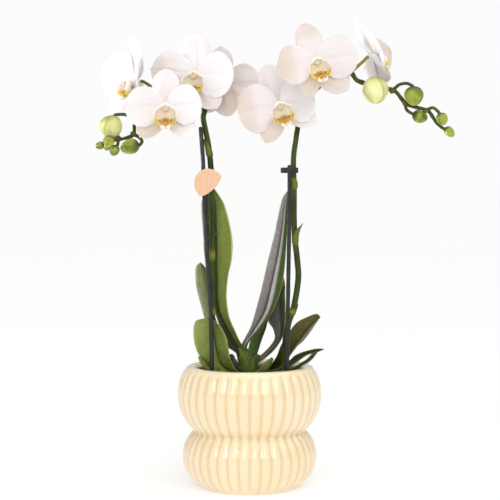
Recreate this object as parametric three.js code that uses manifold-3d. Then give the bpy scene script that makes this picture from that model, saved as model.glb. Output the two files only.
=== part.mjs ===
// A small white moth orchid with two flower spikes, standing in a ribbed ceramic cover pot.
// Millimetres, +Z up. The origin is the middle of the pot's foot; the plant's face looks to -Y.
import * as THREE from "three";
import { mergeVertices } from "three/addons/utils/BufferGeometryUtils.js";
import Module from "manifold-3d";

const wasm = await Module();
wasm.setup();

// ---------------------------------------------------------------- driving dimensions
const GAP = 0.3; // clearance between pieces that touch
const SHORTEST_EDGE = 0.04;
const THINNEST = 0.004; // least height of a triangle

const COVER_POT = {
  height: 101.5,
  ribs: 38,
  ribDepth: 1.4, // at the widest height
  footRadius: 42,
  lower: { z: 26, centre: 28.4, radius: 28 }, // arc of the lower bulge
  upper: { z: 77.5, centre: 20.5, radius: 40 }, // arc of the upper bulge
  neck: 47.2, // height where the bulges meet
  lipRadius: 54.3,
  mouthRadius: 45.4,
  lipRound: 3.1,
  floor: 6,
};
const WIDEST = COVER_POT.upper.centre + COVER_POT.upper.radius;

const GROWING_POT = {
  bottom: COVER_POT.floor + GAP,
  top: 95,
  lowRadius: 32,
  highRadius: 43.8,
  wall: 0.8,
};
const BARK_TOP = 90;
const STALK = 2.5; // radius of a flower stalk
const PEDICEL = 1.35; // radius of the stem of one bloom or bud
const STAKE = 1.75;
const LEAF_THICKNESS = 1.2;
const TEPAL_THICKNESS = 0.7;
const LIP_THICKNESS = 0.8;

const COLOURS = {
  glaze: 0xf5e3b8,
  liner: 0x2a2724,
  bark: 0x4a3322,
  crown: 0x6f9436,
  leaf: 0x62803a,
  root: 0x4c4a45,
  stalk: 0x4d6528,
  bud: 0xdfe29a,
  white: 0xf3efec,
  lip: 0xe8c15a,
  black: 0x1b1a1a,
  tag: 0xecbe9b,
};

// ---------------------------------------------------------------- solids
const vector = ([x, y, z]) => new THREE.Vector3(x, y, z);

function solid(geometry) {
  const bare = geometry.index ? geometry.clone() : geometry;
  for (const name of ["normal", "uv"]) bare.deleteAttribute(name);
  const merged = mergeVertices(bare, 1e-3);
  const triVerts = [];
  for (let i = 0; i < merged.index.count; i += 3) {
    const [a, b, c] = [0, 1, 2].map((k) => merged.index.getX(i + k));
    if (a !== b && b !== c && c !== a) triVerts.push(a, b, c);
  }
  return new wasm.Manifold(
    new wasm.Mesh({
      numProp: 3,
      vertProperties: new Float32Array(merged.attributes.position.array),
      triVerts: new Uint32Array(triVerts),
    }),
  );
}

function geometryOf(manifold) {
  const { vertProperties, triVerts } = manifold.getMesh();
  const points = [];
  for (let i = 0; i < vertProperties.length; i += 3) {
    points.push(new THREE.Vector3().fromArray(vertProperties, i));
  }
  const faces = [];
  for (let i = 0; i < triVerts.length; i += 3) faces.push([...triVerts.subarray(i, i + 3)]);
  const geometry = new THREE.BufferGeometry().setFromPoints(points);
  const plump = withoutNeedles(points, withoutShortEdges(points, faces));
  geometry.setIndex(withoutShortEdges(points, plump).flat());
  geometry.computeVertexNormals();
  return geometry;
}

const edgesOf = ([a, b, c]) => [[a, b, c], [b, c, a], [c, a, b]];

// Cuts leave edges too short to keep: their ends become one point.
function withoutShortEdges(points, faces) {
  const same = points.map((_, i) => i);
  const kept = (i) => (same[i] === i ? i : kept(same[i]));
  const short = ([a, b]) => points[a].distanceTo(points[b]) < SHORTEST_EDGE;
  for (const [a, b] of faces.flatMap(edgesOf).filter(short)) same[kept(b)] = kept(a);
  const left = faces.map((face) => face.map(kept)).filter(([a, b, c]) => a !== b && b !== c && c !== a);
  return left.length < faces.length ? withoutShortEdges(points, left) : left;
}

// A triangle with almost no height swaps its long edge for the other diagonal of the pair it is in.
function withoutNeedles(points, faces) {
  const height = ([a, b, c]) => {
    const base = points[b].clone().sub(points[a]);
    return base.clone().cross(points[c].clone().sub(points[a])).length() / base.length();
  };
  const stuck = new Set();
  for (;;) {
    const owner = new Map(faces.flatMap((face, i) => edgesOf(face).map(([a, b]) => [a + "," + b, i])));
    const flat = faces.flatMap(edgesOf).find((edge) => height(edge) < THINNEST && !stuck.has(edge.join()));
    if (!flat) return faces;
    const [a, b, c] = flat;
    const beyond = faces[owner.get(b + "," + a)];
    const d = beyond.find((i) => i !== a && i !== b);
    if (owner.has(c + "," + d) || owner.has(d + "," + c)) {
      stuck.add(flat.join());
      continue;
    }
    faces[owner.get(a + "," + b)] = [a, d, c];
    faces[owner.get(b + "," + a)] = [d, b, c];
    stuck.add(flat.join());
  }
}

const join = (solids) => solids.reduce((all, one) => all.add(one));

function fromFaces(points, faces) {
  const geometry = new THREE.BufferGeometry();
  geometry.setFromPoints(points);
  geometry.setIndex(faces.flat());
  return solid(geometry);
}

// A closed sheet of even thickness through a grid of points, split alike on both faces.
// wrap: the last column meets the first, as in a dish.
function sheet(grid, thickness, wrap = false) {
  const rows = grid.length;
  const columns = grid[0].length;
  const at = (i, j) => grid[Math.min(Math.max(i, 0), rows - 1)][j];
  const left = (j) => (wrap ? (j + columns - 2) % (columns - 1) : Math.max(j - 1, 0));
  const right = (j) => (wrap ? (j + 1) % (columns - 1) : Math.min(j + 1, columns - 1));
  const normals = grid.map((row, i) =>
    row.map((_, j) => {
      const along = at(i + 1, j).clone().sub(at(i - 1, j));
      const across = at(i, right(j)).clone().sub(at(i, left(j)));
      return across.cross(along).normalize();
    }),
  );
  const ends = [[0, 1], [rows - 1, rows - 2]];
  for (const [end, beside] of ends) {
    const row = grid[end];
    if (row[0].distanceTo(row[Math.floor(columns / 2)]) > 1e-4) continue;
    const shared = normals[beside].reduce((sum, n) => sum.add(n), new THREE.Vector3()).normalize();
    normals[end] = row.map(() => shared);
  }
  const points = [];
  for (const side of [0.5, -0.5]) {
    grid.forEach((row, i) =>
      row.forEach((p, j) => points.push(p.clone().addScaledVector(normals[i][j], side * thickness))),
    );
  }
  const under = rows * columns;
  const index = (i, j) => i * columns + j;
  const faces = [];
  for (let i = 0; i < rows - 1; i++) {
    for (let j = 0; j < columns - 1; j++) {
      const [a, b, c, d] = [index(i, j), index(i, j + 1), index(i + 1, j + 1), index(i + 1, j)];
      faces.push([a, b, c], [a, c, d], [a + under, c + under, b + under],
        [a + under, d + under, c + under]);
    }
  }
  const wall = (a, b) => faces.push([b, a, a + under], [b, a + under, b + under]);
  for (let j = 0; j < columns - 1; j++) {
    wall(index(0, j), index(0, j + 1));
    wall(index(rows - 1, j + 1), index(rows - 1, j));
  }
  if (!wrap) {
    for (let i = 0; i < rows - 1; i++) {
      wall(index(i, columns - 1), index(i + 1, columns - 1));
      wall(index(i + 1, 0), index(i, 0));
    }
  }
  return fromFaces(points, faces);
}

const curveThrough = (points) => new THREE.CatmullRomCurve3(points.map(vector), false, "catmullrom", 0.5);

// A round tube along a curve, its radius given as a list spread evenly over the curve.
function tube(points, radii, { sides = 6, stepsPerPoint = 2, extra = 0 } = {}) {
  const curve = curveThrough(points);
  const steps = Math.max(2, Math.round((points.length - 1) * stepsPerPoint));
  const rings = [];
  let across = null;
  for (let i = 0; i <= steps; i++) {
    const t = i / steps;
    const centre = curve.getPoint(t);
    const along = curve.getTangent(t);
    across = squareTo(along, across);
    const other = along.clone().cross(across);
    rings.push(ring(centre, across, other, between(radii, t) + extra, sides));
  }
  return skin(rings, curve.getPoint(0), curve.getPoint(1));
}

// A direction square to along, as close to the guide as can be.
function squareTo(along, guide) {
  const steep = Math.abs(along.z) > 0.9;
  const start = guide ?? new THREE.Vector3(steep ? 1 : 0, 0, steep ? 0 : 1);
  return start.clone().addScaledVector(along, -start.dot(along)).normalize();
}

// The value at share t of a list spread evenly from 0 to 1.
function between(values, t) {
  const place = t * (values.length - 1);
  const low = Math.max(Math.min(Math.floor(place), values.length - 2), 0);
  const high = Math.min(low + 1, values.length - 1);
  return THREE.MathUtils.lerp(values[low], values[high], place - low);
}

function ring(centre, across, other, radius, sides) {
  return Array.from({ length: sides }, (_, k) => {
    const angle = (2 * Math.PI * k) / sides;
    return centre
      .clone()
      .addScaledVector(across, radius * Math.cos(angle))
      .addScaledVector(other, radius * Math.sin(angle));
  });
}

// A closed skin over rings of points, with a point at each end.
function skin(rings, first, last) {
  const sides = rings[0].length;
  const points = [...rings.flat(), first, last];
  const [start, end] = [points.length - 2, points.length - 1];
  const faces = [];
  for (let k = 0; k < sides; k++) {
    const next = (k + 1) % sides;
    faces.push([start, next, k]);
    for (let i = 0; i < rings.length - 1; i++) {
      const [a, b, c, d] = [i * sides + k, i * sides + next, (i + 1) * sides + next, (i + 1) * sides + k];
      faces.push([a, b, c], [a, c, d]);
    }
    const base = (rings.length - 1) * sides;
    faces.push([end, base + k, base + next]);
  }
  return fromFaces(points, faces);
}

// An egg-shaped bud: centre, direction of its tip, length and width.
function egg(centre, direction, length, width, { sides = 8, extra = 0 } = {}) {
  const along = vector(direction).normalize();
  const across = squareTo(along);
  const other = along.clone().cross(across);
  const middle = vector(centre);
  const rings = [-0.7, -0.05, 0.6].map((s) => {
    const swell = Math.sqrt(1 - s * s) * (1 - 0.14 * s);
    const place = middle.clone().addScaledVector(along, (s * length) / 2);
    return ring(place, across, other, (swell * width) / 2 + extra, sides);
  });
  const tip = (sign) => middle.clone().addScaledVector(along, sign * (length / 2 + extra));
  return skin(rings, tip(-1), tip(1));
}

function lathe(profile, segments) {
  const points = profile.map(([r, z]) => new THREE.Vector2(r, z));
  return solid(new THREE.LatheGeometry(points, segments).rotateX(Math.PI / 2));
}

// ---------------------------------------------------------------- cover pot
const onArc = ({ z, centre, radius }, height) =>
  centre + Math.sqrt(Math.max(radius * radius - (height - z) * (height - z), 0));

function coverPotOutline() {
  const { height, lower, upper, footRadius, lipRadius, lipRound } = COVER_POT;
  const lowHeights = [5, 16, 28, 40, COVER_POT.neck];
  const highHeights = [56, 68, 80, 91];
  return [
    [footRadius, 0],
    ...lowHeights.map((z) => [onArc(lower, z), z]),
    ...highHeights.map((z) => [onArc(upper, z), z]),
    [lipRadius, height - lipRound],
    [lipRadius - 2, height - 0.7],
    [lipRadius - 4.5, height],
  ];
}

function coverPot() {
  const { height, ribs, ribDepth, lipRound, mouthRadius, floor } = COVER_POT;
  const perRib = 3;
  const columns = ribs * perRib;
  const { smoothstep } = THREE.MathUtils;
  const fade = (z) => smoothstep(z, 1, 5) * (1 - smoothstep(z, height - 10, height - 4));
  const rings = coverPotOutline().map(([r, z]) =>
    Array.from({ length: columns }, (_, k) => {
      const angle = (2 * Math.PI * k) / columns - Math.PI / 2;
      const crest = Math.sin((Math.PI * (k % perRib)) / perRib);
      const radius = r - ribDepth * (r / WIDEST) * fade(z) * (1 - crest);
      return new THREE.Vector3(radius * Math.cos(angle), radius * Math.sin(angle), z);
    }),
  );
  const outside = skin(rings, new THREE.Vector3(0, 0, 0), new THREE.Vector3(0, 0, height));
  const inside = lathe(
    [
      [0, floor],
      [38, floor],
      [48, 16],
      [50, 34],
      [43, 47],
      [53.5, 62],
      [54, 84],
      [mouthRadius, height - lipRound - 1],
      [mouthRadius + 1.2, height - 0.5],
      [mouthRadius + 1.6, height],
      [mouthRadius + 1.6, height + 5],
      [0, height + 5],
    ],
    30,
  );
  return outside.subtract(inside);
}

// ---------------------------------------------------------------- growing pot, bark, crown, root
function growingPot() {
  const { bottom, top, lowRadius, highRadius, wall } = GROWING_POT;
  return lathe(
    [
      [0, bottom],
      [lowRadius, bottom],
      [highRadius - 1.2, top - 5],
      [highRadius, top - 5],
      [highRadius, top],
      [highRadius - wall, top],
      [highRadius - wall - 1.2, top - 5],
      [lowRadius - wall, bottom + wall],
      [0, bottom + wall],
    ],
    24,
  );
}

// The bark mix: its top is a field of flat chips at different heights and tilts.
function barkMix() {
  const { bottom, top, lowRadius, highRadius, wall } = GROWING_POT;
  const innerRadius = (z) =>
    lowRadius + ((highRadius - 1.2 - lowRadius) * (z - bottom)) / (top - 5 - bottom) - wall - GAP;
  const sides = 24;
  const [east, north] = [new THREE.Vector3(1, 0, 0), new THREE.Vector3(0, 1, 0)];
  const heights = [bottom + wall + GAP, BARK_TOP - 2];
  const rings = heights.map((z) => ring(new THREE.Vector3(0, 0, z), east, north, innerRadius(z), sides));
  const chips = [0.8, 0.55, 0.3].map((share, row) =>
    Array.from({ length: sides }, (_, k) => {
      const angle = (2 * Math.PI * k) / sides + row * 0.11;
      const radius = innerRadius(BARK_TOP) * share * (1 + 0.05 * Math.sin(5 * k + row));
      const bump = 1.5 * Math.sin(k * 2.4 + row * 1.9) * Math.cos(k * 1.1 + row);
      return new THREE.Vector3(radius * Math.cos(angle), radius * Math.sin(angle), BARK_TOP - 0.5 + bump);
    }),
  );
  return skin([...rings, ...chips], new THREE.Vector3(0, 0, heights[0]), new THREE.Vector3(0, 0, BARK_TOP));
}

const CROWN = { points: [[-1, 2, 84], [-1, 2, 94], [-1.2, 1.6, 104], [-1.4, 1.3, 112], [-1.5, 1, 119]],
  radii: [8.2, 8.8, 7.6, 6.5, 3.6] };

const crown = (extra = 0) => tube(CROWN.points, CROWN.radii, { sides: 10, stepsPerPoint: 1, extra });
const ROOT = { points: [[-5, -0.5, 98], [-10, -6, 100.5], [-13, -8.5, 105.5], [-15.5, -8.5, 110]],
  radii: [2.1, 2.2, 2.3, 2.9] };

// ---------------------------------------------------------------- leaves
// Each blade lies between three rails, from its base to its tip: one edge, the midrib and the other edge.
const LEAVES = {
  leaf_tall_left: {
    left: [[-4.5, -1.5, 107], [-9, -4, 110], [-20.5, -6, 125.5], [-26, -6, 137.5], [-29.5, -6, 149.5],
      [-32, -7, 163], [-37, -9, 194.5], [-38, -9, 208.5], [-40, -7, 228.5], [-39, -4, 242.5],
      [-30, 0, 250]],
    rib: [[-3.5, 0, 110], [-8, -2, 116], [-14.5, -3, 125.5], [-23, -4, 141], [-27, -4, 154],
      [-28, -4, 171], [-29, -2, 210], [-29, 0, 230], [-30, 2, 243.5], [-30, 0, 250]],
    right: [[-3, -1, 114], [-8.5, -6, 123], [-13, -9, 132.5], [-17.5, -10, 144], [-19.5, -12, 160],
      [-17.5, -12, 178.5], [-14.5, -12, 191.5], [-14, -11, 204.5], [-16.5, -8, 219.5], [-21, -4, 235],
      [-25.5, -2, 243.5], [-30, 0, 250]],
  },
  leaf_torn: {
    left: [[-5, 3, 104], [-11.5, 4.5, 111.5], [-18, 5, 115.5], [-27.5, 4.5, 120.5], [-35, 4, 131],
      [-39, 4, 144.5], [-44.5, 4, 165.5], [-45.5, 4, 175.5], [-45, 5, 184], [-42, 6, 187.5]],
    rib: [[-4.5, 4, 107], [-11.5, 6, 113.5], [-19, 6.5, 119.5], [-30, 6, 128], [-33.5, 5, 141],
      [-36, 5, 154.5], [-41, 6.5, 177], [-41.5, 7, 183.5], [-41.5, 6.5, 187]],
    right: [[-4, 2, 110], [-11.5, 2, 117.5], [-19, 2, 123], [-25.5, 1, 134.5], [-30.5, 2, 147],
      [-34.5, 4, 170.5], [-36, 5, 180], [-38.5, 6, 185], [-41.5, 6, 187.5]],
  },
  leaf_front: {
    left: [[-4, -5, 92.5], [-18, -9.5, 95], [-34.5, -14.5, 103], [-42, -18, 112.5], [-45.5, -20, 121.5],
      [-46.5, -20, 131.5], [-45, -20, 139.5], [-41, -19, 141.5]],
    rib: [[-3, -4.5, 94], [-14, -8.5, 96], [-24, -12, 104], [-28, -13, 115], [-30, -13, 126],
      [-31, -14, 134], [-32, -15, 140], [-34.5, -16, 142.5]],
    right: [[-2, -5, 95.5], [-9, -11, 97], [-14, -15.5, 105], [-17, -18, 114], [-19, -19, 124.5],
      [-22.5, -19, 133], [-26.5, -19, 138.5], [-29, -18, 140.5]],
  },
  leaf_tall_right: {
    left: [[-3, 5.5, 106], [-7, 7.5, 113.5], [-6.5, 7, 119], [-3, 6.5, 125.5], [2, 6, 135.5],
      [8.5, 6, 156.5], [14, 6, 181.5], [20.5, 6, 210], [25.5, 6, 235], [28.5, 6, 243.5], [33, 4, 249]],
    rib: [[-2, 4, 107], [-4.5, 4.5, 114], [-3.5, 3, 119.5], [-0.5, 1.5, 124.5], [4.5, -1, 131.5],
      [13.5, -3, 148], [19, -1, 170], [25.5, 2, 202.5], [29.5, 4, 234], [32.5, 4, 247]],
    right: [[-0.5, 4, 108], [-2.5, 4, 113], [-1, 1, 119.5], [3, 0, 125], [8.5, -1.5, 131.5],
      [19, -3, 146.5], [26.5, 0, 165.5], [29.5, 2, 184], [31, 4, 210], [32, 4, 237.5], [33, 4, 247.5]],
  },
  leaf_cupped: {
    left: [[2, 4.5, 103], [10.5, 9, 110], [17.5, 12, 116.5], [21.5, 14, 123], [20, 15, 130.5],
      [15.5, 16, 137.5], [14, 17, 150], [17.5, 16, 163.5], [24, 14, 175.5]],
    rib: [[2.5, 4, 101.5], [12, 7, 107.5], [20, 9, 115], [25.5, 11, 123.5], [26, 13, 132.5],
      [25, 14, 142.5], [24, 14, 153.5], [25, 14, 165.5], [26.5, 12, 178.5]],
    right: [[3, 3.5, 100], [14.5, 6, 108], [22.5, 7, 116], [28, 8, 126], [30, 8, 137], [30.5, 8, 148],
      [30, 8, 159], [29.5, 8, 169.5], [27.5, 10, 180]],
  },
  leaf_dark: {
    left: [[-2, 5, 98], [-1, 11, 103], [-1, 12.5, 114.5], [3.5, 16, 125.5], [10.5, 20, 134.5],
      [15.5, 22, 142]],
    rib: [[-0.5, 5.5, 97], [1, 11.5, 102.5], [3, 14, 114.5], [7, 18, 123.5], [12.5, 21, 131.5],
      [15.5, 23, 141]],
    right: [[1, 5, 96.5], [3.5, 10.5, 102], [7, 13, 111], [10, 17, 120], [13.5, 20, 130],
      [16, 22, 140]],
  },
  leaf_right: {
    left: [[3.5, 4, 96], [14, 4.5, 97], [22, 3, 107.5], [27, 1, 119.5], [34.5, -1, 131],
      [39.5, -2, 137.5], [46, -3, 141.5], [51.5, -4, 144], [56.5, -5, 145], [59, -5, 142.5]],
    rib: [[4, 6, 94.5], [15, 6.5, 95.5], [26, 6.5, 102], [35, 5, 114.5], [40.5, 3, 123.5],
      [46.5, 1, 131], [51.5, -1, 136.5], [56, -3, 141], [59, -5, 142.5]],
    right: [[4.5, 6.5, 93], [17, 7, 93.5], [27, 5, 98], [32.5, 4, 106.5], [39, 2, 116],
      [44, 0, 121.5], [50, -2, 129], [55, -3, 136], [59, -5, 142.5]],
  },
  leaf_split: {
    left: [[4, 0, 97], [15, -2.5, 97.5], [24.5, -5, 100], [33.5, -6, 106.5], [37.5, -8, 110.5],
      [43.5, -10, 113.5], [49.5, -12, 115.5], [56, -14, 117], [62, -16, 117]],
    rib: [[4.5, 0, 96], [16, -3, 96], [26, -5.5, 98.5], [34, -6.5, 104], [39.5, -8, 108.5],
      [44.5, -9.5, 111.5], [50.5, -11.5, 113.5], [56, -13.5, 115], [62, -16, 117]],
    right: [[5, 0, 94.5], [17, -4, 94.5], [27, -7, 96], [34.5, -8.5, 102], [41, -10, 106.5],
      [45.5, -11, 110], [50, -12.5, 112.5], [56, -14, 114], [62, -16, 117]],
  },
  leaf_sheath: {
    left: [[0, -4, 94], [8.5, -9, 99.5], [12.5, -9.5, 105], [18.5, -8, 109]],
    rib: [[2, -4, 92.5], [11.5, -11, 97.5], [16, -11, 103.5], [18.8, -8.8, 108.8]],
    right: [[3.5, -4, 92.5], [14, -9, 97], [18, -9.5, 103], [19.5, -8, 108.5]],
  },
};
// Torn strips that belong to one of the leaves above.
const STRIPS = {
  leaf_front: {
    left: [[-24, -10.5, 96.5], [-34.5, -17, 99.5], [-40, -22, 105], [-42.5, -25, 111]],
    rib: [[-24, -11, 98.5], [-33, -15, 101.5], [-37.5, -20, 107.5], [-40.5, -24.5, 112]],
    right: [[-24, -11.5, 101], [-31, -14, 103.5], [-35, -20, 109], [-39, -25, 112.5]],
  },
  leaf_split: {
    left: [[19, -4, 97], [30, -10, 98.5], [38, -13, 102], [43, -14, 105.5], [47, -14.5, 108],
      [51, -14.5, 112], [55, -14, 115]],
    rib: [[19.5, -4, 96], [31, -9.5, 97.5], [39, -12.5, 101], [43.5, -13.5, 104], [48, -14, 106.5],
      [52, -14, 110.5], [56, -13.8, 115]],
    right: [[20, -4.5, 95], [32, -10, 96.5], [40, -13, 100], [44, -14, 103], [48.5, -15, 105.5],
      [53, -15, 109.5], [57, -14.2, 115]],
  },
};

function leafBlade({ left, rib, right }, rows, columns) {
  const [edgeA, middle, edgeB] = [left, rib, right].map(curveThrough);
  const grid = [];
  for (let i = 0; i <= rows; i++) {
    const t = 1 - Math.pow(1 - i / rows, 1.1);
    const [a, m, b] = [edgeA, middle, edgeB].map((curve) => curve.getPoint(t));
    const half = b.clone().sub(a).multiplyScalar(0.5);
    const rise = a.clone().add(b).multiplyScalar(0.5).sub(m);
    const row = [];
    for (let j = 0; j <= columns; j++) {
      const s = (2 * j) / columns - 1;
      const fold = 0.5 * Math.abs(s) + 0.5 * s * s; // a crease at the midrib that eases into a curve
      row.push(m.clone().addScaledVector(half, s).addScaledVector(rise, fold));
    }
    grid.push(row);
  }
  return sheet(grid, LEAF_THICKNESS);
}

// ---------------------------------------------------------------- blooms
// Directions in a bloom: across (to its right), up, and out towards whoever it faces.
function bloomAxes({ yaw, pitch, roll }) {
  const [y, p, r] = [yaw, pitch, roll].map(THREE.MathUtils.degToRad);
  const out = new THREE.Vector3(Math.sin(y) * Math.cos(p), -Math.cos(y) * Math.cos(p), Math.sin(p));
  const plainUp = new THREE.Vector3(-Math.sin(y) * Math.sin(p), Math.cos(y) * Math.sin(p), Math.cos(p));
  const plainAcross = plainUp.clone().cross(out);
  const up = plainUp.clone().multiplyScalar(Math.cos(r)).addScaledVector(plainAcross, Math.sin(r));
  const across = plainAcross.clone().multiplyScalar(Math.cos(r)).addScaledVector(plainUp, -Math.sin(r));
  return { across, up, out };
}

// angle clockwise from up, as its viewer sees it; bend in degrees at the base and gained to the tip
const SEPAL = { layer: -1.6, hollow: -0.008 };
const LOW_SEPAL = { ...SEPAL, length: 34, width: 20, bend: 6, gain: -22, widest: 1.05, round: 0.56 };
const PETAL = { length: 34, width: 35, bend: 2, gain: -14, widest: 1.12, round: 0.5, layer: 0.8, hollow: -0.006 };
const TEPALS = {
  top: { ...SEPAL, angle: 0, length: 33, width: 23, bend: -4, gain: -10, widest: 1.12, round: 0.54 },
  lowRight: { ...LOW_SEPAL, angle: 142 },
  lowLeft: { ...LOW_SEPAL, angle: -142 },
  right: { ...PETAL, angle: 82 },
  left: { ...PETAL, angle: -82 },
};

const BLOOMS = {
  a: {
    centre: [-97.5, 20, 339.5], yaw: -60, pitch: 4, roll: 2, scale: 1.1,
    top: { bend: -2, gain: 32, length: 35, width: 23 },
    left: { bend: 6, gain: 28, length: 36, width: 41, angle: -76 },
    right: { bend: 8, gain: 28, length: 32, width: 36, angle: 84 },
    lowLeft: { bend: 6, gain: 42, length: 31, angle: -140 },
    lowRight: { bend: 6, gain: 42, length: 31, angle: 140 },
    lip: { up: -5.6, out: 4, size: 0.88 },
  },
  b: {
    centre: [-68.5, -26, 317], yaw: 0, pitch: 6, roll: -1, scale: 1,
    top: { length: 31 },
    left: { angle: -88, length: 32.5, width: 34 },
    right: { angle: 84, length: 28, width: 34 },
    lowLeft: { angle: -138, length: 32 },
    lowRight: { angle: 140, length: 32 },
  },
  c: {
    centre: [-45.5, -6, 344.5], yaw: -8, pitch: 8, roll: 0, scale: 1,
    top: { length: 35, width: 25 },
    left: { length: 37, width: 33.5 },
    right: { angle: 92, length: 31, width: 39 },
    lowLeft: { angle: -150, length: 33 },
    lowRight: { angle: 146, length: 33, width: 24 },
  },
  d: {
    centre: [-23.5, 20, 340.5], yaw: 168, pitch: -6, roll: 0, scale: 1,
    top: { length: 27.5, width: 20 },
    left: { length: 31.5, width: 28, angle: -90 },
    right: { length: 30, width: 28, angle: 84 },
    lowLeft: { length: 30.5, width: 23, angle: -165 },
    lowRight: { length: 30, width: 22, angle: 150 },
  },
  e: {
    centre: [24.5, -14, 319], yaw: 2, pitch: 6, roll: -16.6, scale: 1,
    top: { length: 35.5, width: 24 },
    left: { angle: -82, length: 33.3, width: 41 },
    right: { angle: 92, length: 29, width: 38 },
    lowLeft: { angle: -144, length: 32 },
    lowRight: { angle: 132, length: 33, width: 20 },
  },
  f: {
    centre: [53.5, -34, 353.5], yaw: 6, pitch: 8, roll: -15, scale: 0.975,
    top: { length: 33, width: 22 },
    left: { angle: -84, length: 32, width: 34 },
    right: { angle: 94, length: 35, width: 37 },
    lowLeft: { angle: -153, length: 31, width: 17 },
    lowRight: { angle: 147, length: 35, width: 27 },
  },
  g: {
    centre: [103, 8, 361.5], yaw: 100, pitch: 26, roll: 0, scale: 0.98,
    top: { bend: -20, gain: 51, length: 35, width: 14 },
    left: { bend: 2, gain: -9, angle: -75, length: 35, width: 42 },
    right: { bend: 12, gain: 56, angle: 97, length: 38, width: 35 },
    lowLeft: { bend: 2, gain: 8, angle: -142, length: 28, width: 29 },
    lowRight: { bend: -8, gain: -10, angle: 142, length: 25, width: 25 },
    lip: { up: -8.5, out: 2, size: 0.8 },
  },
};

const ROOTED = 1; // a tepal starts this far from the bloom's middle, well inside its core

// Points of one tepal in the bloom's own directions.
function tepalGrid(tepal, rows, columns) {
  const { angle, length, width, bend, gain, layer, widest, round, hollow } = tepal;
  const turn = THREE.MathUtils.degToRad(angle);
  const grid = [];
  for (let i = 0; i <= rows; i++) {
    const t = (1 - Math.cos((Math.PI * i) / rows)) / 2;
    const share = Math.pow(t, widest);
    const half = (width / 2) * Math.pow(Math.max(4 * share * (1 - share), 0), round);
    const [reach, lift] = bentLine(length, bend, gain, t);
    const row = [];
    for (let j = 0; j <= columns; j++) {
      const side = ((2 * j) / columns - 1) * half;
      const along = reach + ROOTED;
      const out = lift + layer + hollow * side * side;
      row.push([
        side * Math.cos(turn) + along * Math.sin(turn),
        along * Math.cos(turn) - side * Math.sin(turn),
        out,
      ]);
    }
    grid.push(row);
  }
  return grid;
}

// Where a line of this length has got to at share t, if its slope starts at bend and gains evenly.
function bentLine(length, bend, gain, t) {
  const steps = 16;
  let [reach, lift] = [0, 0];
  for (let k = 0; k < steps; k++) {
    const slope = THREE.MathUtils.degToRad(bend + gain * t * ((k + 0.5) / steps));
    reach += (Math.cos(slope) * length * t) / steps;
    lift += (Math.sin(slope) * length * t) / steps;
  }
  return [reach, lift];
}

const LIP_ROOT = { up: -9.8, out: 2.4, size: 1 };
// The lip's edge by angle from up: a low back, two side lobes that rise beside the column, a short tongue.
const LIP_EDGE = [
  [0, 6.3, -1.2], [24, 9, 3.5], [48, 9.8, 5.8], [85, 9.2, 8], [115, 9.1, 7.5], [143, 8.2, 4],
  [165, 9, 4.2], [180, 10, 5.6],
];

function lipGrid(rows, root) {
  const middle = LIP_EDGE.slice(1, -1).reverse();
  const mirrored = middle.map(([angle, radius, out]) => [360 - angle, radius, out]);
  const edge = [...LIP_EDGE, ...mirrored, [360, ...LIP_EDGE[0].slice(1)]];
  const grid = [];
  for (let i = 0; i <= rows; i++) {
    const t = i / rows;
    grid.push(
      edge.map(([angle, radius, out]) => {
        const turn = THREE.MathUtils.degToRad(angle);
        const reach = radius * root.size * Math.sin((t * Math.PI) / 2);
        const rise = out * root.size * Math.pow(t, 2.2);
        return [reach * Math.sin(turn), root.up + reach * Math.cos(turn), root.out + rise];
      }),
    );
  }
  return grid;
}

function bloomParts(bloom) {
  const { across, up, out } = bloomAxes(bloom);
  const place = ([x, y, z]) =>
    vector(bloom.centre)
      .addScaledVector(across, x * bloom.scale)
      .addScaledVector(up, y * bloom.scale)
      .addScaledVector(out, z * bloom.scale);
  const placed = (grid) => grid.map((row) => row.map(place));
  const tepalSheet = (plain, own) => {
    const [rows, columns] = plain.width > 30 ? [6, 4] : [5, 2];
    return sheet(placed(tepalGrid({ ...plain, ...own }, rows, columns)), TEPAL_THICKNESS);
  };
  const tepals = Object.entries(TEPALS).map(([name, plain]) =>
    tepalSheet(plain, bloom[name]),
  );
  const core = (extra) =>
    tube([[0, 0, -3],
      [0, 0, 1.4]].map((p) => place(p).toArray()), [2.2, 2.8], { sides: 6, stepsPerPoint: 1, extra });
  const columnDirection = out.clone().addScaledVector(up, -0.35).toArray();
  const column = (extra) => egg(place([0, -1, 3.6]).toArray(), columnDirection, 8, 5.4, { sides: 6, extra });
  const lip = sheet(placed(lipGrid(2, { ...LIP_ROOT, ...bloom.lip })), LIP_THICKNESS, true);
  return {
    tepals: join([...tepals, core(0), column(0)]),
    lip: lip.subtract(core(GAP)).subtract(column(GAP)),
  };
}

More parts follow.
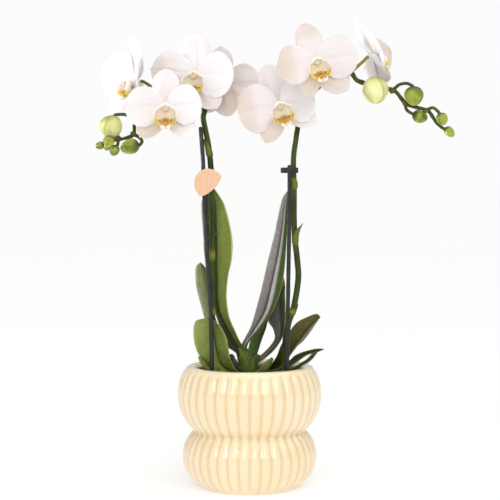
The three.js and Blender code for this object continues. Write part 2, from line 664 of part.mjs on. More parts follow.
// ---------------------------------------------------------------- flower spikes
const SPIKES = {
  left: {
    stalk: [[-21, -2, 84], [-24, -3, 101], [-27, -5, 113], [-30, -7.5, 125], [-31, -10, 140.5],
      [-31, -12.5, 157.5], [-31, -13, 210.5], [-31.5, -13, 244.5], [-32, -12, 266], [-34, -9, 285],
      [-37, -6, 300], [-38.5, -2, 309], [-37.5, 3, 316], [-41.5, 6, 324]],
    branch: [[-41.5, 6, 324], [-51.5, 7, 329.5], [-65, 7, 332], [-76.5, 6, 330.5], [-85.5, 4, 325.5],
      [-92.5, 2, 317], [-95.5, 0, 309.5], [-96, -1, 302.5], [-96.5, -1, 295], [-101, -1, 292.5],
      [-107, 0, 291], [-110, 0, 291.5], [-115.5, 0, 288.5], [-122, 0, 288]],
    branchRadii: [1.9, 1.7, 1.5, 1.2],
    pedicels: [
      [[-79, 6, 331], [-84.5, 14, 336.5], [-91, 21, 340.5], "a"],
      [[-75, 5, 330.5], [-71.5, -8, 324], [-69, -18, 318], "b"],
      [[-42.5, 6, 324.5], [-43.5, 6, 332], [-45, 1, 342], "c"],
      [[-37.5, 3, 317], [-32, 3, 317], [-27.5, 7, 325.5], [-24, 13, 336.5], "d"],
      [[-95.5, 0, 307.5], [-102.5, 0, 311], [-108, 0, 311.5], [-113, 0, 310], "bud_left"],
      [[-96.5, -1, 295], [-91.5, -2, 292], [-89.5, -4, 288.5], [-92.5, -5, 285], [-95, -5, 284.5]],
      [[-109, 0, 291], [-112.5, -6, 290.5], [-116.5, -11, 291]],
      [[-109.5, 0, 291], [-110, -2, 286], [-111.5, -3, 283.5]],
      [[-116.5, 0, 288], [-118, -2, 286]],
    ],
    // centre, direction of the tip, length, width
    buds: [
      [[-99.5, -5, 284.5], [-1, 0, -0.25], 16, 12.6],
      [[-116.5, -12, 288.5], [-0.2, -0.3, -1], 10.2, 9.4],
      [[-112.5, -4, 281.5], [-0.3, 0, -1], 9.4, 8.4],
      [[-118.5, -3, 284.5], [-0.4, -0.4, -1], 7, 6],
      [[-125, 0, 285.5], [-0.9, 0, -0.3], 7.6, 6.6],
    ],
    nodes: [[[-33.3, -10, 279], [-35.8, -9.5, 291]]],
  },
  right: {
    stalk: [[27.5, -1, 84], [28.5, -1, 96], [29.3, -1.5, 107], [29.7, -3.5, 118], [31, -7, 130],
      [33, -9, 140], [36.8, -8.8, 151], [40.5, -8, 174.5], [39.5, -8, 192], [37.5, -7, 209.5],
      [37, -7, 227], [37, -7, 250], [36.5, -5, 273.5], [38.5, -2, 290], [41.5, 2, 307],
      [46.5, 3, 320.5]],
    branch: [[46.5, 3, 320.5], [54, 3, 331], [64, 3, 339.5], [74, 3, 343.5], [84, 3, 346.5],
      [89, 3, 340.5], [95, 4, 338], [105, 5, 335.5], [114, 4, 333], [121.5, 3, 331],
      [130.5, 2, 320.5], [139, 2, 317.5], [149, 2, 314.5], [156.5, 2, 304], [162.5, 2, 299.5],
      [165.5, 2, 298]],
    branchRadii: [2.2, 2.1, 1.9, 1.5, 1.2],
    pedicels: [
      [[46.5, 3, 320.5], [38.5, 2, 320], [29.5, -4, 319], "e"],
      [[64, 3, 339.5], [60, -10, 346], [55, -25, 353], "f"],
      [[84, 3, 346.5], [90.5, 4, 352], [96.5, 6, 357.5], "g"],
      [[105, 5, 335.5], [104.5, 2.5, 334], "bud_right"],
      [[119.5, 3, 331.5], [122.5, 1, 334.5], [125.5, -1, 336.5], [131, -3, 337], [135.5, -4, 334.5],
      [136.5, -4, 331.5]],
      [[129.5, 2, 321], [131.5, 5, 315.5], [136, 6, 312.5], [139.5, 7, 311.5]],
      [[147.5, 2, 315], [152.5, -1, 317], [156.5, -3, 314], [158.5, -4, 311]],
    ],
    buds: [
      [[136.5, -4, 326.5], [0.05, 0, -1], 16.4, 16],
      [[143, 8, 310], [1, 0.3, -0.3], 13.4, 11],
      [[160, -4, 307.5], [0.3, 0, -1], 10.6, 9.8],
      [[167, 2, 297], [0.7, 0, -0.8], 10.4, 7.6],
    ],
    nodes: [[[36.2, -6.8, 250], [36.9, -6.6, 259]], [[38.2, -7.2, 207.5], [44.5, -8.5, 221]],
      [[38.6, -8.4, 148], [38.6, -8.6, 155]]],
  },
};

const PALE_BUDS = {
  bud_left: { centre: [-115.5, 0, 301], direction: [0.25, 0.1, -1], length: 19.5, width: 19 },
  bud_right: { centre: [104, -9, 330.5], direction: [-0.1, -0.3, -1], length: 22.5, width: 21.5 },
};
const paleBud = ({ centre, direction, length, width }, extra = 0) =>
  egg(centre, direction, length, width, { sides: 10, extra });

// A pedicel ends just short of the back of its bloom, or runs into its bud.
function pedicel(route) {
  const end = route.at(-1);
  const bloom = BLOOMS[end];
  const points = route.filter((p) => typeof p !== "string");
  if (bloom) {
    const { out } = bloomAxes(bloom);
    for (const behind of [6, 3]) {
      points.push(vector(bloom.centre).addScaledVector(out, -behind * bloom.scale - GAP).toArray());
    }
  }
  const pale = PALE_BUDS[end];
  if (pale) points.push(pale.centre);
  const made = tube(points, [PEDICEL * 1.15, PEDICEL], { sides: 5, stepsPerPoint: 1 });
  return pale ? made.subtract(paleBud(pale, GAP)) : made;
}

function spike({ stalk, branch, branchRadii, pedicels, buds, nodes }) {
  const bracts = nodes.map(([low, high]) => tube([low, high],
    [STALK * 1.1, 0.5], { sides: 5, stepsPerPoint: 1 }));
  return join([
    tube(stalk, [STALK * 1.1, STALK, STALK * 0.85], { sides: 6, stepsPerPoint: 1 }),
    tube(branch, branchRadii, { sides: 5, stepsPerPoint: 1 }),
    ...pedicels.map(pedicel),
    ...buds.map(([centre, direction, length, width]) => egg(centre, direction, length, width)),
    ...bracts,
  ]);
}

// ---------------------------------------------------------------- stakes, clips, tag
const STAKES = {
  left: [[-29.5, -20, 62], [-31, -20.5, 100.5], [-32, -20, 146], [-35, -18.5, 192.5],
    [-37.5, -16.5, 244.5], [-38.5, -14, 273.5], [-40.5, -11, 299.5]],
  right: [[31, -17.5, 58], [31, -17.5, 99.5], [32, -15, 168], [33, -12, 235.5], [33, -11, 268]],
};
const stake = (side, extra = 0) => tube(STAKES[side], [STAKE], { sides: 8, stepsPerPoint: 1, extra });
const stalkOf = (side, extra = 0) =>
  tube(SPIKES[side].stalk, [STALK * 1.1, STALK, STALK * 0.85], { sides: 6, stepsPerPoint: 1, extra });

const upright = ([x, y, z], radius, height) =>
  solid(new THREE.CylinderGeometry(radius, radius, height, 14).rotateX(Math.PI / 2).translate(x, y, z));

// A clip: two round eyes side by side, one for the stalk and one for the stake.
function clip({ side, stalkAt, stakeAt, height, tab }) {
  const eyes = upright(stalkAt, STALK + 1.5, height).add(upright(stakeAt, STAKE + 1.4, height));
  const [width, depth, x, y] = tab;
  const grip = solid(new THREE.BoxGeometry(width, depth, height).translate(x, y, stakeAt[2]));
  return eyes.add(grip).subtract(stalkOf(side, GAP)).subtract(stake(side, GAP));
}

// tab: its width, depth, x and y
const CLIPS = {
  stalk_clip: {
    side: "right",
    stalkAt: [36.6, -5.6, 264.9],
    stakeAt: [33, -11, 264.9],
    height: 4.6,
    tab: [6, 1.8, 28.8, -10.5],
  },
  tag_clip: {
    side: "left",
    stalkAt: [-31.8, -12.5, 256],
    stakeAt: [-37.8, -15.7, 256],
    height: 5,
    tab: [4, 4.4, -34.5, -16.8],
  },
};

const TAG = {
  y: -19.8,
  thickness: 0.8,
  outline: [[-45.5, 254], [-43.5, 261.5], [-36.5, 266], [-29, 265], [-23.5, 260.5], [-25, 255],
    [-31, 248], [-39.5, 243.5], [-44, 247.5]],
};

function tag() {
  const corners = TAG.outline.map(([x, z]) => new THREE.Vector3(x, z, 0));
  const outline = new THREE.CatmullRomCurve3(corners, true, "catmullrom", 0.5);
  const shape = new THREE.Shape(outline.getPoints(27).slice(0, -1));
  const plate = new THREE.ExtrudeGeometry(shape, { depth: TAG.thickness, bevelEnabled: false });
  return solid(plate.rotateX(Math.PI / 2).translate(0, TAG.y + TAG.thickness / 2, 0));
}

// ---------------------------------------------------------------- the plant
const part = new THREE.Group();

function addMesh(name, manifold, colour, roughness = 0.6) {
  const material = new THREE.MeshStandardMaterial({ color: colour, roughness, metalness: 0 });
  const mesh = new THREE.Mesh(geometryOf(manifold), material);
  mesh.name = name;
  part.add(mesh);
}

addMesh("cover_pot", coverPot(), COLOURS.glaze, 0.25);
addMesh("growing_pot", growingPot(), COLOURS.liner);

const standing = ["left", "right"].flatMap((side) => [stalkOf(side, GAP), stake(side, GAP)]);
addMesh("bark", barkMix().subtract(join([...standing, crown(GAP)])), COLOURS.bark, 0.9);
addMesh("crown", crown(), COLOURS.crown);
addMesh("aerial_root", tube(ROOT.points, ROOT.radii, { sides: 7 }).subtract(crown(GAP)), COLOURS.root);

for (const [name, rails] of Object.entries(LEAVES)) {
  const rows = name.includes("tall") ? 12 : 8;
  const blades = [leafBlade(rails, rows, 4)];
  if (STRIPS[name]) blades.push(leafBlade(STRIPS[name], 6, 2));
  addMesh(name, join(blades).subtract(crown(GAP)), COLOURS.leaf, 0.45);
}

for (const [side, parts] of Object.entries(SPIKES)) {
  addMesh("spike_" + side, spike(parts), COLOURS.stalk);
  addMesh("stake_" + side, stake(side), COLOURS.black);
}
for (const [name, bud] of Object.entries(PALE_BUDS)) addMesh(name, paleBud(bud), COLOURS.bud);
for (const [letter, bloom] of Object.entries(BLOOMS)) {
  const { tepals, lip } = bloomParts(bloom);
  addMesh("bloom_" + letter, tepals, COLOURS.white);
  addMesh("lip_" + letter, lip, COLOURS.lip);
}
for (const [name, size] of Object.entries(CLIPS)) addMesh(name, clip(size), COLOURS.black);
addMesh("tag", tag(), COLOURS.tag);

export default part;
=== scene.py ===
"""A potted white orchid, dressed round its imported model. Lengths are in millimetres until a mesh is made."""
import bpy, bmesh, math, random
import numpy as np
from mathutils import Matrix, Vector


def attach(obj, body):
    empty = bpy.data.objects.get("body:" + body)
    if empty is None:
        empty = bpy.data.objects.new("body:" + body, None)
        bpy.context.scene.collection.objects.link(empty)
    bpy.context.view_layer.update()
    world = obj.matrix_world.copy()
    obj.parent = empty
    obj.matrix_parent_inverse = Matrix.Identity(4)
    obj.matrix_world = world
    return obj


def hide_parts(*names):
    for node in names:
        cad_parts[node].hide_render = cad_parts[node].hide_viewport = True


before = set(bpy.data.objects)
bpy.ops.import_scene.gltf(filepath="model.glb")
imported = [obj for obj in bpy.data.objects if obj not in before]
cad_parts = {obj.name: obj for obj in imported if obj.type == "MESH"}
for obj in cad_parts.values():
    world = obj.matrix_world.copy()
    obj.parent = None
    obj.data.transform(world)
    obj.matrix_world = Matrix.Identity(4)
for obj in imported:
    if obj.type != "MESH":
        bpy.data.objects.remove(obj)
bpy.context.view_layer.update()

MM = 0.001
TURN = 2 * math.pi
MERGE = 0.004 * MM  # points nearer than this become one
NO_LENGTH = 1e-7
TIP_WIDTH = 0.3  # a leaf or petal has this width at its very tip, so that its faces have an area
LAYERS = ("along", "side", "tint", "under")


# ---------------------------------------------------------------- curves and surfaces
def smooth(x, low, high):
    t = np.clip((np.asarray(x, float) - low) / (high - low), 0, 1)
    return t * t * (3 - 2 * t)


def bell(x, width):
    return np.exp(-((x / width) ** 2))


def unit(v):
    v = np.asarray(v, float)
    return v / np.maximum(np.linalg.norm(v, axis=-1, keepdims=True), 1e-9)


def turns(count):
    return np.arange(count) * TURN / count


def rail(points, ts):
    """Points of a uniform Catmull-Rom curve at shares ts of its length in points."""
    p = np.array(points, float)
    p = np.vstack([2 * p[0] - p[1], p, 2 * p[-1] - p[-2]])
    x = np.clip(np.asarray(ts, float), 0, 1) * (len(points) - 1)
    i = np.minimum(x.astype(int), len(points) - 2)
    w = (x - i)[:, None]
    a, b, c, d = p[i], p[i + 1], p[i + 2], p[i + 3]
    m0, m1 = (c - a) / 2, (d - b) / 2
    return ((2 * w**3 - 3 * w**2 + 1) * b + (w**3 - 2 * w**2 + w) * m0
            + (3 * w**2 - 2 * w**3) * c + (w**3 - w**2) * m1)


def directions(points, ts, step):
    return unit(rail(points, np.minimum(ts + step, 1)) - rail(points, np.maximum(ts - step, 0)))


def square_to(along, guide=None):
    if guide is None:
        steep = abs(along[2]) > 0.9
        guide = np.array([1.0 if steep else 0.0, 0.0, 0.0 if steep else 1.0])
    return unit(guide - along * np.dot(guide, along))


def ring(angles, across, other, size):
    return np.reshape(size, (-1, 1)) * (np.cos(angles)[:, None] * across + np.sin(angles)[:, None] * other)


def level_ring(angles, radius, z):
    return np.stack([radius * np.cos(angles), radius * np.sin(angles), np.full_like(angles, z)], -1)


def link(name, data):
    made = bpy.data.objects.new(name, data)
    bpy.context.scene.collection.objects.link(made)
    return made


class Shape:
    """Points and faces of one piece. Each point has a number under each layer name, for the materials."""

    def __init__(self):
        self.points, self.faces, self.looks, self.count = [], [], [], 0
        self.marks = {name: [] for name in LAYERS}

    def add(self, points, faces, look=0, **marks):
        self.points.append(points)
        self.faces += [[i + self.count for i in face] for face in faces]
        self.looks += [look] * len(faces)
        for name in LAYERS:
            self.marks[name].append(np.broadcast_to(marks.get(name, 0.0), (len(points),)))
        self.count += len(points)

    def piece(self, name, looks, node):
        data = bpy.data.meshes.new(name)
        data.from_pydata((np.vstack(self.points) * MM).tolist(), [], self.faces)
        for layer, values in self.marks.items():
            data.attributes.new(layer, "FLOAT", "POINT").data.foreach_set("value", np.concatenate(values))
        data.polygons.foreach_set("material_index", self.looks)
        for look in looks:
            data.materials.append(look.material)
        mesh = bmesh.new()
        mesh.from_mesh(data)
        bmesh.ops.remove_doubles(mesh, verts=mesh.verts, dist=MERGE)
        bmesh.ops.dissolve_degenerate(mesh, edges=mesh.edges, dist=NO_LENGTH)
        mesh.to_mesh(data)
        mesh.free()
        data.shade_smooth()
        made = link(name, data)
        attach(made, "root")
        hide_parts(node)
        return made


def normals_of(grid, wrap):
    along = np.gradient(grid, axis=0)
    if wrap:
        open_part = grid[:, :-1]
        across = np.roll(open_part, -1, 1) - np.roll(open_part, 1, 1)
        across = np.concatenate([across, across[:, :1]], 1)
    else:
        across = np.gradient(grid, axis=1)
    normals = unit(np.cross(across, along))
    middle = grid.shape[1] // 2
    for end, beside in ((0, 1), (-1, -2)):
        if np.linalg.norm(grid[end, 0] - grid[end, middle]) < TIP_WIDTH:
            normals[end] = unit(normals[beside].sum(0))
    return normals


def sheet(shape, grid, thickness, tint=0.0, wrap=False, lift=0.0, side=None, under=None):
    """A closed sheet through a grid of points. The numbers are one for all points, or one for each."""
    rows, columns = grid.shape[:2]
    grid = np.array(grid)
    for end, beside in () if wrap else ((0, 1), (-1, -2)):
        if np.ptp(grid[end], axis=0).max() < TIP_WIDTH:
            ray = grid[beside] - grid[beside].mean(0)
            grid[end] = grid[end].mean(0) + ray * (TIP_WIDTH / 2 / np.linalg.norm(ray, axis=-1).max())
    normals = normals_of(grid, wrap)
    grid = grid + normals * np.broadcast_to(lift, (rows, columns))[..., None]
    half = normals * (np.broadcast_to(thickness, (rows, columns)) / 2)[..., None]
    index = np.arange(rows * columns).reshape(rows, columns)
    back = rows * columns
    a, b, c, d = index[:-1, :-1], index[:-1, 1:], index[1:, 1:], index[1:, :-1]
    faces = np.stack([a, b, c, d], -1).reshape(-1, 4).tolist()
    faces += (np.stack([a, d, c, b], -1).reshape(-1, 4) + back).tolist()
    rims = [(index[0, :-1], index[0, 1:]), (index[-1, 1:], index[-1, :-1])]
    if not wrap:
        rims += [(index[:-1, -1], index[1:, -1]), (index[1:, 0], index[:-1, 0])]
    for p, q in rims:
        faces += np.stack([q, p, p + back, q + back], -1).tolist()

    def on_both(value):
        return np.tile(np.broadcast_to(value, (rows, columns)).ravel(), 2)

    shape.add(np.concatenate([grid + half, grid - half]).reshape(-1, 3), faces,
              along=on_both(np.linspace(0, 1, rows)[:, None]),
              side=on_both(np.linspace(-1, 1, columns) if side is None else side), tint=on_both(tint),
              under=np.repeat([0.0, 1.0], back) if under is None else on_both(under))


def skin(shape, rings, first, last, look=0, along=None, tint=0.0):
    """A closed skin over rings of points, with a point at each end. tint is one number, or one for each
    ring or point."""
    rings = np.asarray(rings, float)
    rows, sides = rings.shape[:2]
    index = np.arange(rows * sides).reshape(rows, sides)
    turned = np.roll(index, -1, 1)
    faces = np.stack([index[:-1], turned[:-1], turned[1:], index[1:]], -1).reshape(-1, 4).tolist()
    start, end = rows * sides, rows * sides + 1
    for k in range(sides):
        faces += [[start, int(turned[0, k]), k], [end, int(index[-1, k]), int(turned[-1, k])]]

    def with_ends(value):
        value = value[:, None] if np.ndim(value) == 1 else value
        flat = np.broadcast_to(value, (rows, sides)).ravel()
        return np.append(flat, [flat[0], flat[-1]])

    shape.add(np.concatenate([rings.reshape(-1, 3), [first, last]]), faces, look,
              along=with_ends(np.linspace(0, 1, rows) if along is None else np.array(along)),
              side=np.append(np.tile(np.linspace(-1, 1, sides), rows), [0, 0]), tint=with_ends(tint))


def tube(shape, points, radii, sides=16, per=6, look=0, tint=0.0, swell=None, blunt=(0.6, 0.6)):
    """A round tube along a curve, with rounded ends. swell gives extra radius from the centres."""
    ts = np.linspace(0, 1, max(3, (len(points) - 1) * per) + 1)
    centres, along = rail(points, ts), directions(points, ts, 1e-3)
    radius = np.interp(ts, np.linspace(0, 1, len(radii)), radii)
    if swell is not None:
        radius = radius + swell(centres)

    def cap(end, sign, bends):
        return [(centres[end] + sign * along[end] * radius[end] * math.sin(bend) * blunt[end], along[end],
                 radius[end] * math.cos(bend), ts[end]) for bend in bends]

    bends = np.linspace(math.pi / 2 * 0.93, 0, 5)[:-1]
    rows = cap(0, -1, bends) + list(zip(centres, along, radius, ts)) + cap(-1, 1, bends[::-1])
    rings, across = [], None
    for centre, tangent, size, _ in rows:
        across = square_to(tangent, across)
        rings.append(centre + ring(turns(sides), across, np.cross(tangent, across), size))
    shade = tint(np.array([row[0] for row in rows])) if callable(tint) else tint
    skin(shape, rings, centres[0] - along[0] * radius[0] * blunt[0],
         centres[-1] + along[-1] * radius[-1] * blunt[1], look, [row[3] for row in rows], shade)


def egg(shape, centre, direction, length, width, look=0, tint=0.0, seams=0, depth=0.3, rings=26, sides=36,
        turn=0.0, lean=0.35, start=-0.55, beside=0.0):
    """An egg-shaped body; seams run to its tip, as where the parts of a bud meet. beside is painted shade,
    darker on one side of each seam."""
    along = unit(direction)
    across = square_to(along)
    other = np.cross(along, across)
    angles = turns(sides)
    shares = -np.cos(np.linspace(0.08, math.pi - 0.08, rings))
    rows, shade = [], []
    for s in shares:
        radius = width / 2 * math.sqrt(1 - s * s) * (1 - 0.14 * s)
        groove = groove_shade = np.zeros(sides)
        if seams:
            near = (angles - turn - lean * s) * seams / TURN
            near = (near - np.round(near)) * TURN / seams
            groove = bell(near, 0.13) * smooth(s, start, start + 0.65)
            groove_shade = groove + beside * smooth(-near, 0.0, 0.1) * (1 - smooth(-near, 0.5, 0.95))
        size = np.maximum(radius - depth * groove * min(1.0, radius / 2), 0.02)
        rows.append(np.asarray(centre) + along * s * length / 2 + ring(angles, across, other, size))
        shade.append(tint + 0.6 * groove_shade)
    first, last = [np.asarray(centre) + along * sign * length / 2 for sign in (-1, 1)]
    skin(shape, rows, first, last, look, (shares + 1) / 2, np.array(shade))


def lathe(shape, profile, segments, radii_at):
    """A closed body round the z axis. radii_at gives the radii and tints at each (radius, z, ...) of the
    profile, which starts and ends near the axis."""
    angles = turns(segments) - math.pi / 2
    rows, shade = [], []
    for place in profile:
        radii, tint = radii_at(angles, *place)
        rows.append(level_ring(angles, radii, place[1]))
        shade.append(tint)
    skin(shape, rows, [0, 0, profile[0][1]], [0, 0, profile[-1][1]], tint=np.array(shade))


# ---------------------------------------------------------------- materials
def linear(colour):
    def one(c):
        c /= 255
        return c / 12.92 if c <= 0.04045 else ((c + 0.055) / 1.055) ** 2.4
    return tuple(one(c) for c in colour) + (1.0,)


class Look:
    """A procedural material. over and bump lay more on its colour and its relief, and done links both."""

    def __init__(self, name, colour=None, **settings):
        self.material = bpy.data.materials.new(name)
        self.material.use_nodes = True
        self.tree = self.material.node_tree
        self.shader = self.tree.nodes["Principled BSDF"]
        self.colour, self.normal = colour, None
        for key, value in settings.items():
            self.shader.inputs[key.replace("_", " ")].default_value = value

    def put(self, socket, value):
        if isinstance(value, bpy.types.NodeSocket):
            self.tree.links.new(value, socket)
        elif isinstance(value, tuple) and socket.type == "RGBA":
            socket.default_value = linear(value)
        elif value is not None:
            socket.default_value = value

    def node(self, kind, inputs, output=0, **fields):
        node = self.tree.nodes.new("ShaderNode" + kind)
        for name, value in fields.items():
            setattr(node, name, value)
        for name, value in inputs.items():
            self.put(node.inputs[name], value)
        return node.outputs[output]

    def mark(self, name):
        return self.node("Attribute", {}, "Fac", attribute_type="GEOMETRY", attribute_name=name)

    def math(self, kind, a, b=None, clamp=False):
        return self.node("Math", {0: a, 1: b}, operation=kind, use_clamp=clamp)

    def times(self, a, b):
        return self.math("MULTIPLY", a, b)

    def ramp(self, fac, *stops, kind="EASE"):
        """A ramp of (place, colour) stops; a single number is a grey."""
        node = self.tree.nodes.new("ShaderNodeValToRGB")
        node.color_ramp.interpolation = kind
        elements = node.color_ramp.elements
        while len(elements) < len(stops):
            elements.new(0.5)
        for element, (place, colour) in zip(elements, stops):
            element.position = place
            element.color = linear(colour) if isinstance(colour, tuple) else (colour, colour, colour, 1)
        self.put(node.inputs[0], fac)
        return node.outputs["Color"]

    def mix(self, fac, a, b, kind="MIX"):
        return self.node("Mix", {"Factor": fac, 6: a, 7: b}, 2, data_type="RGBA", blend_type=kind)

    def over(self, top, mask, *stops, kind="MIX"):
        self.colour = self.mix(self.ramp(mask, *stops) if stops else mask, self.colour, top, kind)

    def place(self, stretch):
        return self.node("Mapping", {"Scale": stretch, "Vector": self.node("TexCoord", {}, "Object")})

    def noise(self, scale, detail, stretch=(1, 1, 1), rough=0.55):
        return self.node("TexNoise", {"Scale": scale, "Detail": detail, "Roughness": rough,
                                      "Vector": self.place(stretch)}, "Fac")

    def patches(self, scale, detail, low, high, strength=1, stretch=(1, 1, 1)):
        """0 where the noise is under low, and strength where it is over high."""
        return self.ramp(self.noise(scale, detail, stretch), (low, 0), (high, strength))

    def dots(self, scale, inner, outer, strength=1, stretch=(1, 1, 1)):
        """Dots of the given strength, which fade from inner to outer."""
        cells = self.node("TexVoronoi", {"Scale": scale, "Vector": self.place(stretch)}, "Distance")
        return self.ramp(cells, (inner, strength), (outer, 0))

    def wander(self, scale, reach):
        return self.times(self.math("SUBTRACT", self.noise(scale, 3), 0.5), reach)

    def lines(self, count, wander, sharp, scale=60):
        """Thin lines along a blade: 1 on a line, 0 between them."""
        phase = self.math("ADD", self.times(self.mark("side"), count * math.pi),
                          self.times(self.noise(scale, 2), wander * TURN))
        return self.math("POWER", self.times(self.math("ADD", self.math("SINE", phase), 1.0), 0.5), sharp)

    def bump(self, height, strength, distance):
        self.normal = self.node("Bump", {"Strength": strength, "Distance": distance, "Height": height,
                                         "Normal": self.normal})

    def done(self, rough=None, low=0.0, high=1.0):
        """Links colour and bumps. The roughness goes from low to high as rough goes from 0 to 1."""
        self.put(self.shader.inputs["Base Color"], self.colour)
        self.put(self.shader.inputs["Normal"], self.normal)
        if rough is not None:
            self.put(self.shader.inputs["Roughness"], self.math("ADD", self.times(rough, high - low), low))
        return self


def glaze_look():
    look = Look("cream_glaze", (250, 231, 194), IOR=1.5, Coat_Weight=1.0, Coat_Roughness=0.03)
    look.over((247, 224, 182), look.patches(22, 3, 0.3, 0.75))
    # painted shade: the tint darkens the glaze in the rib valleys and round the neck
    look.over((230, 200, 148), look.mark("tint"), (0.3, 0), (1, 0.75))
    look.over((214, 178, 128), look.times(look.dots(420, 0, 0.09), look.patches(60, 2, 0.52, 0.66, 0.35)))
    look.bump(look.noise(240, 2, (1, 1, 0.25)), 0.16, 0.0006)
    look.bump(look.noise(26, 2), 0.3, 0.0014)
    return look.done(look.noise(90, 3), 0.07, 0.16)


def plastic_look(name, light, dark, rough):
    look = Look(name, dark, Specular_IOR_Level=0.45)
    look.over(light, look.patches(120, 5, 0.35, 0.75))
    look.bump(look.noise(900, 3), 0.25, 0.0002)
    look.bump(look.noise(70, 2), 0.2, 0.0004)
    return look.done(look.noise(200, 4), rough - 0.08, rough + 0.12)


def bark_look():
    look = Look("bark_chips", Specular_IOR_Level=0.25)
    grain = look.noise(90, 8, (1, 1, 3), 0.7)
    look.colour = look.ramp(grain, (0.25, (22, 15, 10)), (0.55, (62, 41, 26)), (0.8, (110, 76, 44)))
    pale = look.ramp(grain, (0.25, (70, 47, 26)), (0.55, (140, 100, 52)), (0.8, (196, 156, 88)))
    look.over(pale, look.mark("tint"), (0.6, 0), (0.95, 1))
    look.bump(look.noise(300, 8, (1, 1, 4), 0.75), 0.9, 0.0012)
    return look.done(grain, 0.7, 0.98)


def root_look():
    look = Look("aerial_root", Specular_IOR_Level=0.3, Roughness=0.72)
    grain = look.noise(200, 6)
    look.colour = look.ramp(grain, (0.3, (38, 34, 32)), (0.6, (86, 80, 76)), (0.85, (128, 122, 112)))
    look.over((40, 33, 38), look.mark("along"), (0.75, 0), (1, 0.6))
    look.bump(grain, 0.6, 0.0006)
    return look.done()


def green_look(name, dark, light, pale, rough):
    """Stems and the crown: tint 1 is a pale node band."""
    look = Look(name, dark, Specular_IOR_Level=0.22, Subsurface_Weight=0.05, Subsurface_Scale=0.002)
    mottle = look.noise(140, 6, (1, 1, 0.25))
    look.over(light, mottle, (0.3, 0), (0.7, 1))
    look.over(pale, look.times(look.dots(700, 0.05, 0.14, stretch=(1, 1, 0.35)), 0.35))
    look.over(pale, look.mark("tint"))
    look.bump(look.noise(500, 3, (1, 1, 0.12)), 0.35, 0.0004)
    return look.done(mottle, rough - 0.06, rough + 0.1)


def leaf_look(name, front, back, foot, spots, shade):
    """front and back are colour stops across the blade, from its left edge, 0, to its right one, 1. foot is
    how far the base's green reaches up, and spots how strong the pale specks are."""
    look = Look(name, Coat_Weight=0.03, Coat_Roughness=0.25, Specular_IOR_Level=0.26, Subsurface_Weight=0.04,
                Subsurface_Scale=0.002)
    across = look.times(look.math("ADD", look.mark("side"), 1.0), 0.5)
    across = look.math("ADD", across, look.wander(40, 0.06))
    look.colour = look.ramp(across, *front, kind="LINEAR")
    look.over(look.ramp(across, *back, kind="LINEAR"), look.mark("under"))
    mottle = look.ramp(look.noise(120, 7, (1, 1, 0.5), 0.65), (0.3, 0.78), (0.7, 1.12))
    look.over(mottle, 0.75, kind="MULTIPLY")
    veins = look.lines(26, 0.05, 3.0)
    look.over((30, 44, 14), look.times(veins, 0.1))
    look.over((212, 216, 178), look.times(look.dots(430, 0.1, 0.2), look.patches(55, 2, 0.5, 0.6, spots)))
    look.over(look.ramp(look.noise(700, 3), (0.35, 0.86), (0.65, 1.1)), 0.8, kind="MULTIPLY")
    look.over((86, 114, 30), look.mark("along"), (0, 1), (foot, 0))
    # painted shade: a dark part near the base of some blades, where they lie in shadow
    if shade:
        low, high, start, end = shade
        look.over((26, 30, 12), look.times(look.ramp(across, (0, 1), (low, 1), (high, 0)),
                                           look.ramp(look.mark("along"), (0, 0), (start, 1), (end, 0))))
    look.bump(look.noise(900, 3), 0.15, 0.0002)
    look.bump(veins, 0.3, 0.0003)
    look.bump(look.noise(60, 3), 0.25, 0.001)
    return look.done(look.noise(80, 4), 0.3, 0.5)


def petal_look():
    look = Look("white_petal", Roughness=0.55, Specular_IOR_Level=0.28, Sheen_Weight=0.2, Sheen_Roughness=0.4,
                Subsurface_Weight=0.22, Subsurface_Scale=0.002, Subsurface_Radius=(1.0, 0.95, 0.9))
    along = look.mark("along")
    # tint lays painted shade on the tepals: beige and tan where they lie in shadow
    look.colour = look.ramp(look.times(look.mark("tint"), 0.7), (0, (246, 242, 244)), (0.2, (234, 226, 225)),
                            (0.42, (220, 206, 196)), (0.7, (212, 193, 166)), (1, (202, 173, 153)))
    veins = look.times(look.lines(25, 0.12, 4.0),
                       look.ramp(along, (0.05, 0), (0.3, 1), (0.8, 0.75), (1, 0.2)))
    look.over((214, 196, 200), look.times(veins, 0.1))
    # painted shade of broad soft folds, in a few wide streaks
    look.over((224, 212, 212), look.times(look.lines(6, 0.35, 1.0, 30),
                                          look.ramp(along, (0.08, 0.04), (0.45, 0.14), (1, 0.05))))
    look.over((232, 224, 204), along, (0.04, 0.55), (0.3, 0))
    look.over((240, 230, 232), look.patches(70, 4, 0.35, 0.8, 0.25))
    look.bump(look.noise(1400, 2), 0.16, 0.00016)
    look.bump(veins, -0.3, 0.0004)
    look.bump(look.noise(110, 3), 0.25, 0.0008)
    return look.done()


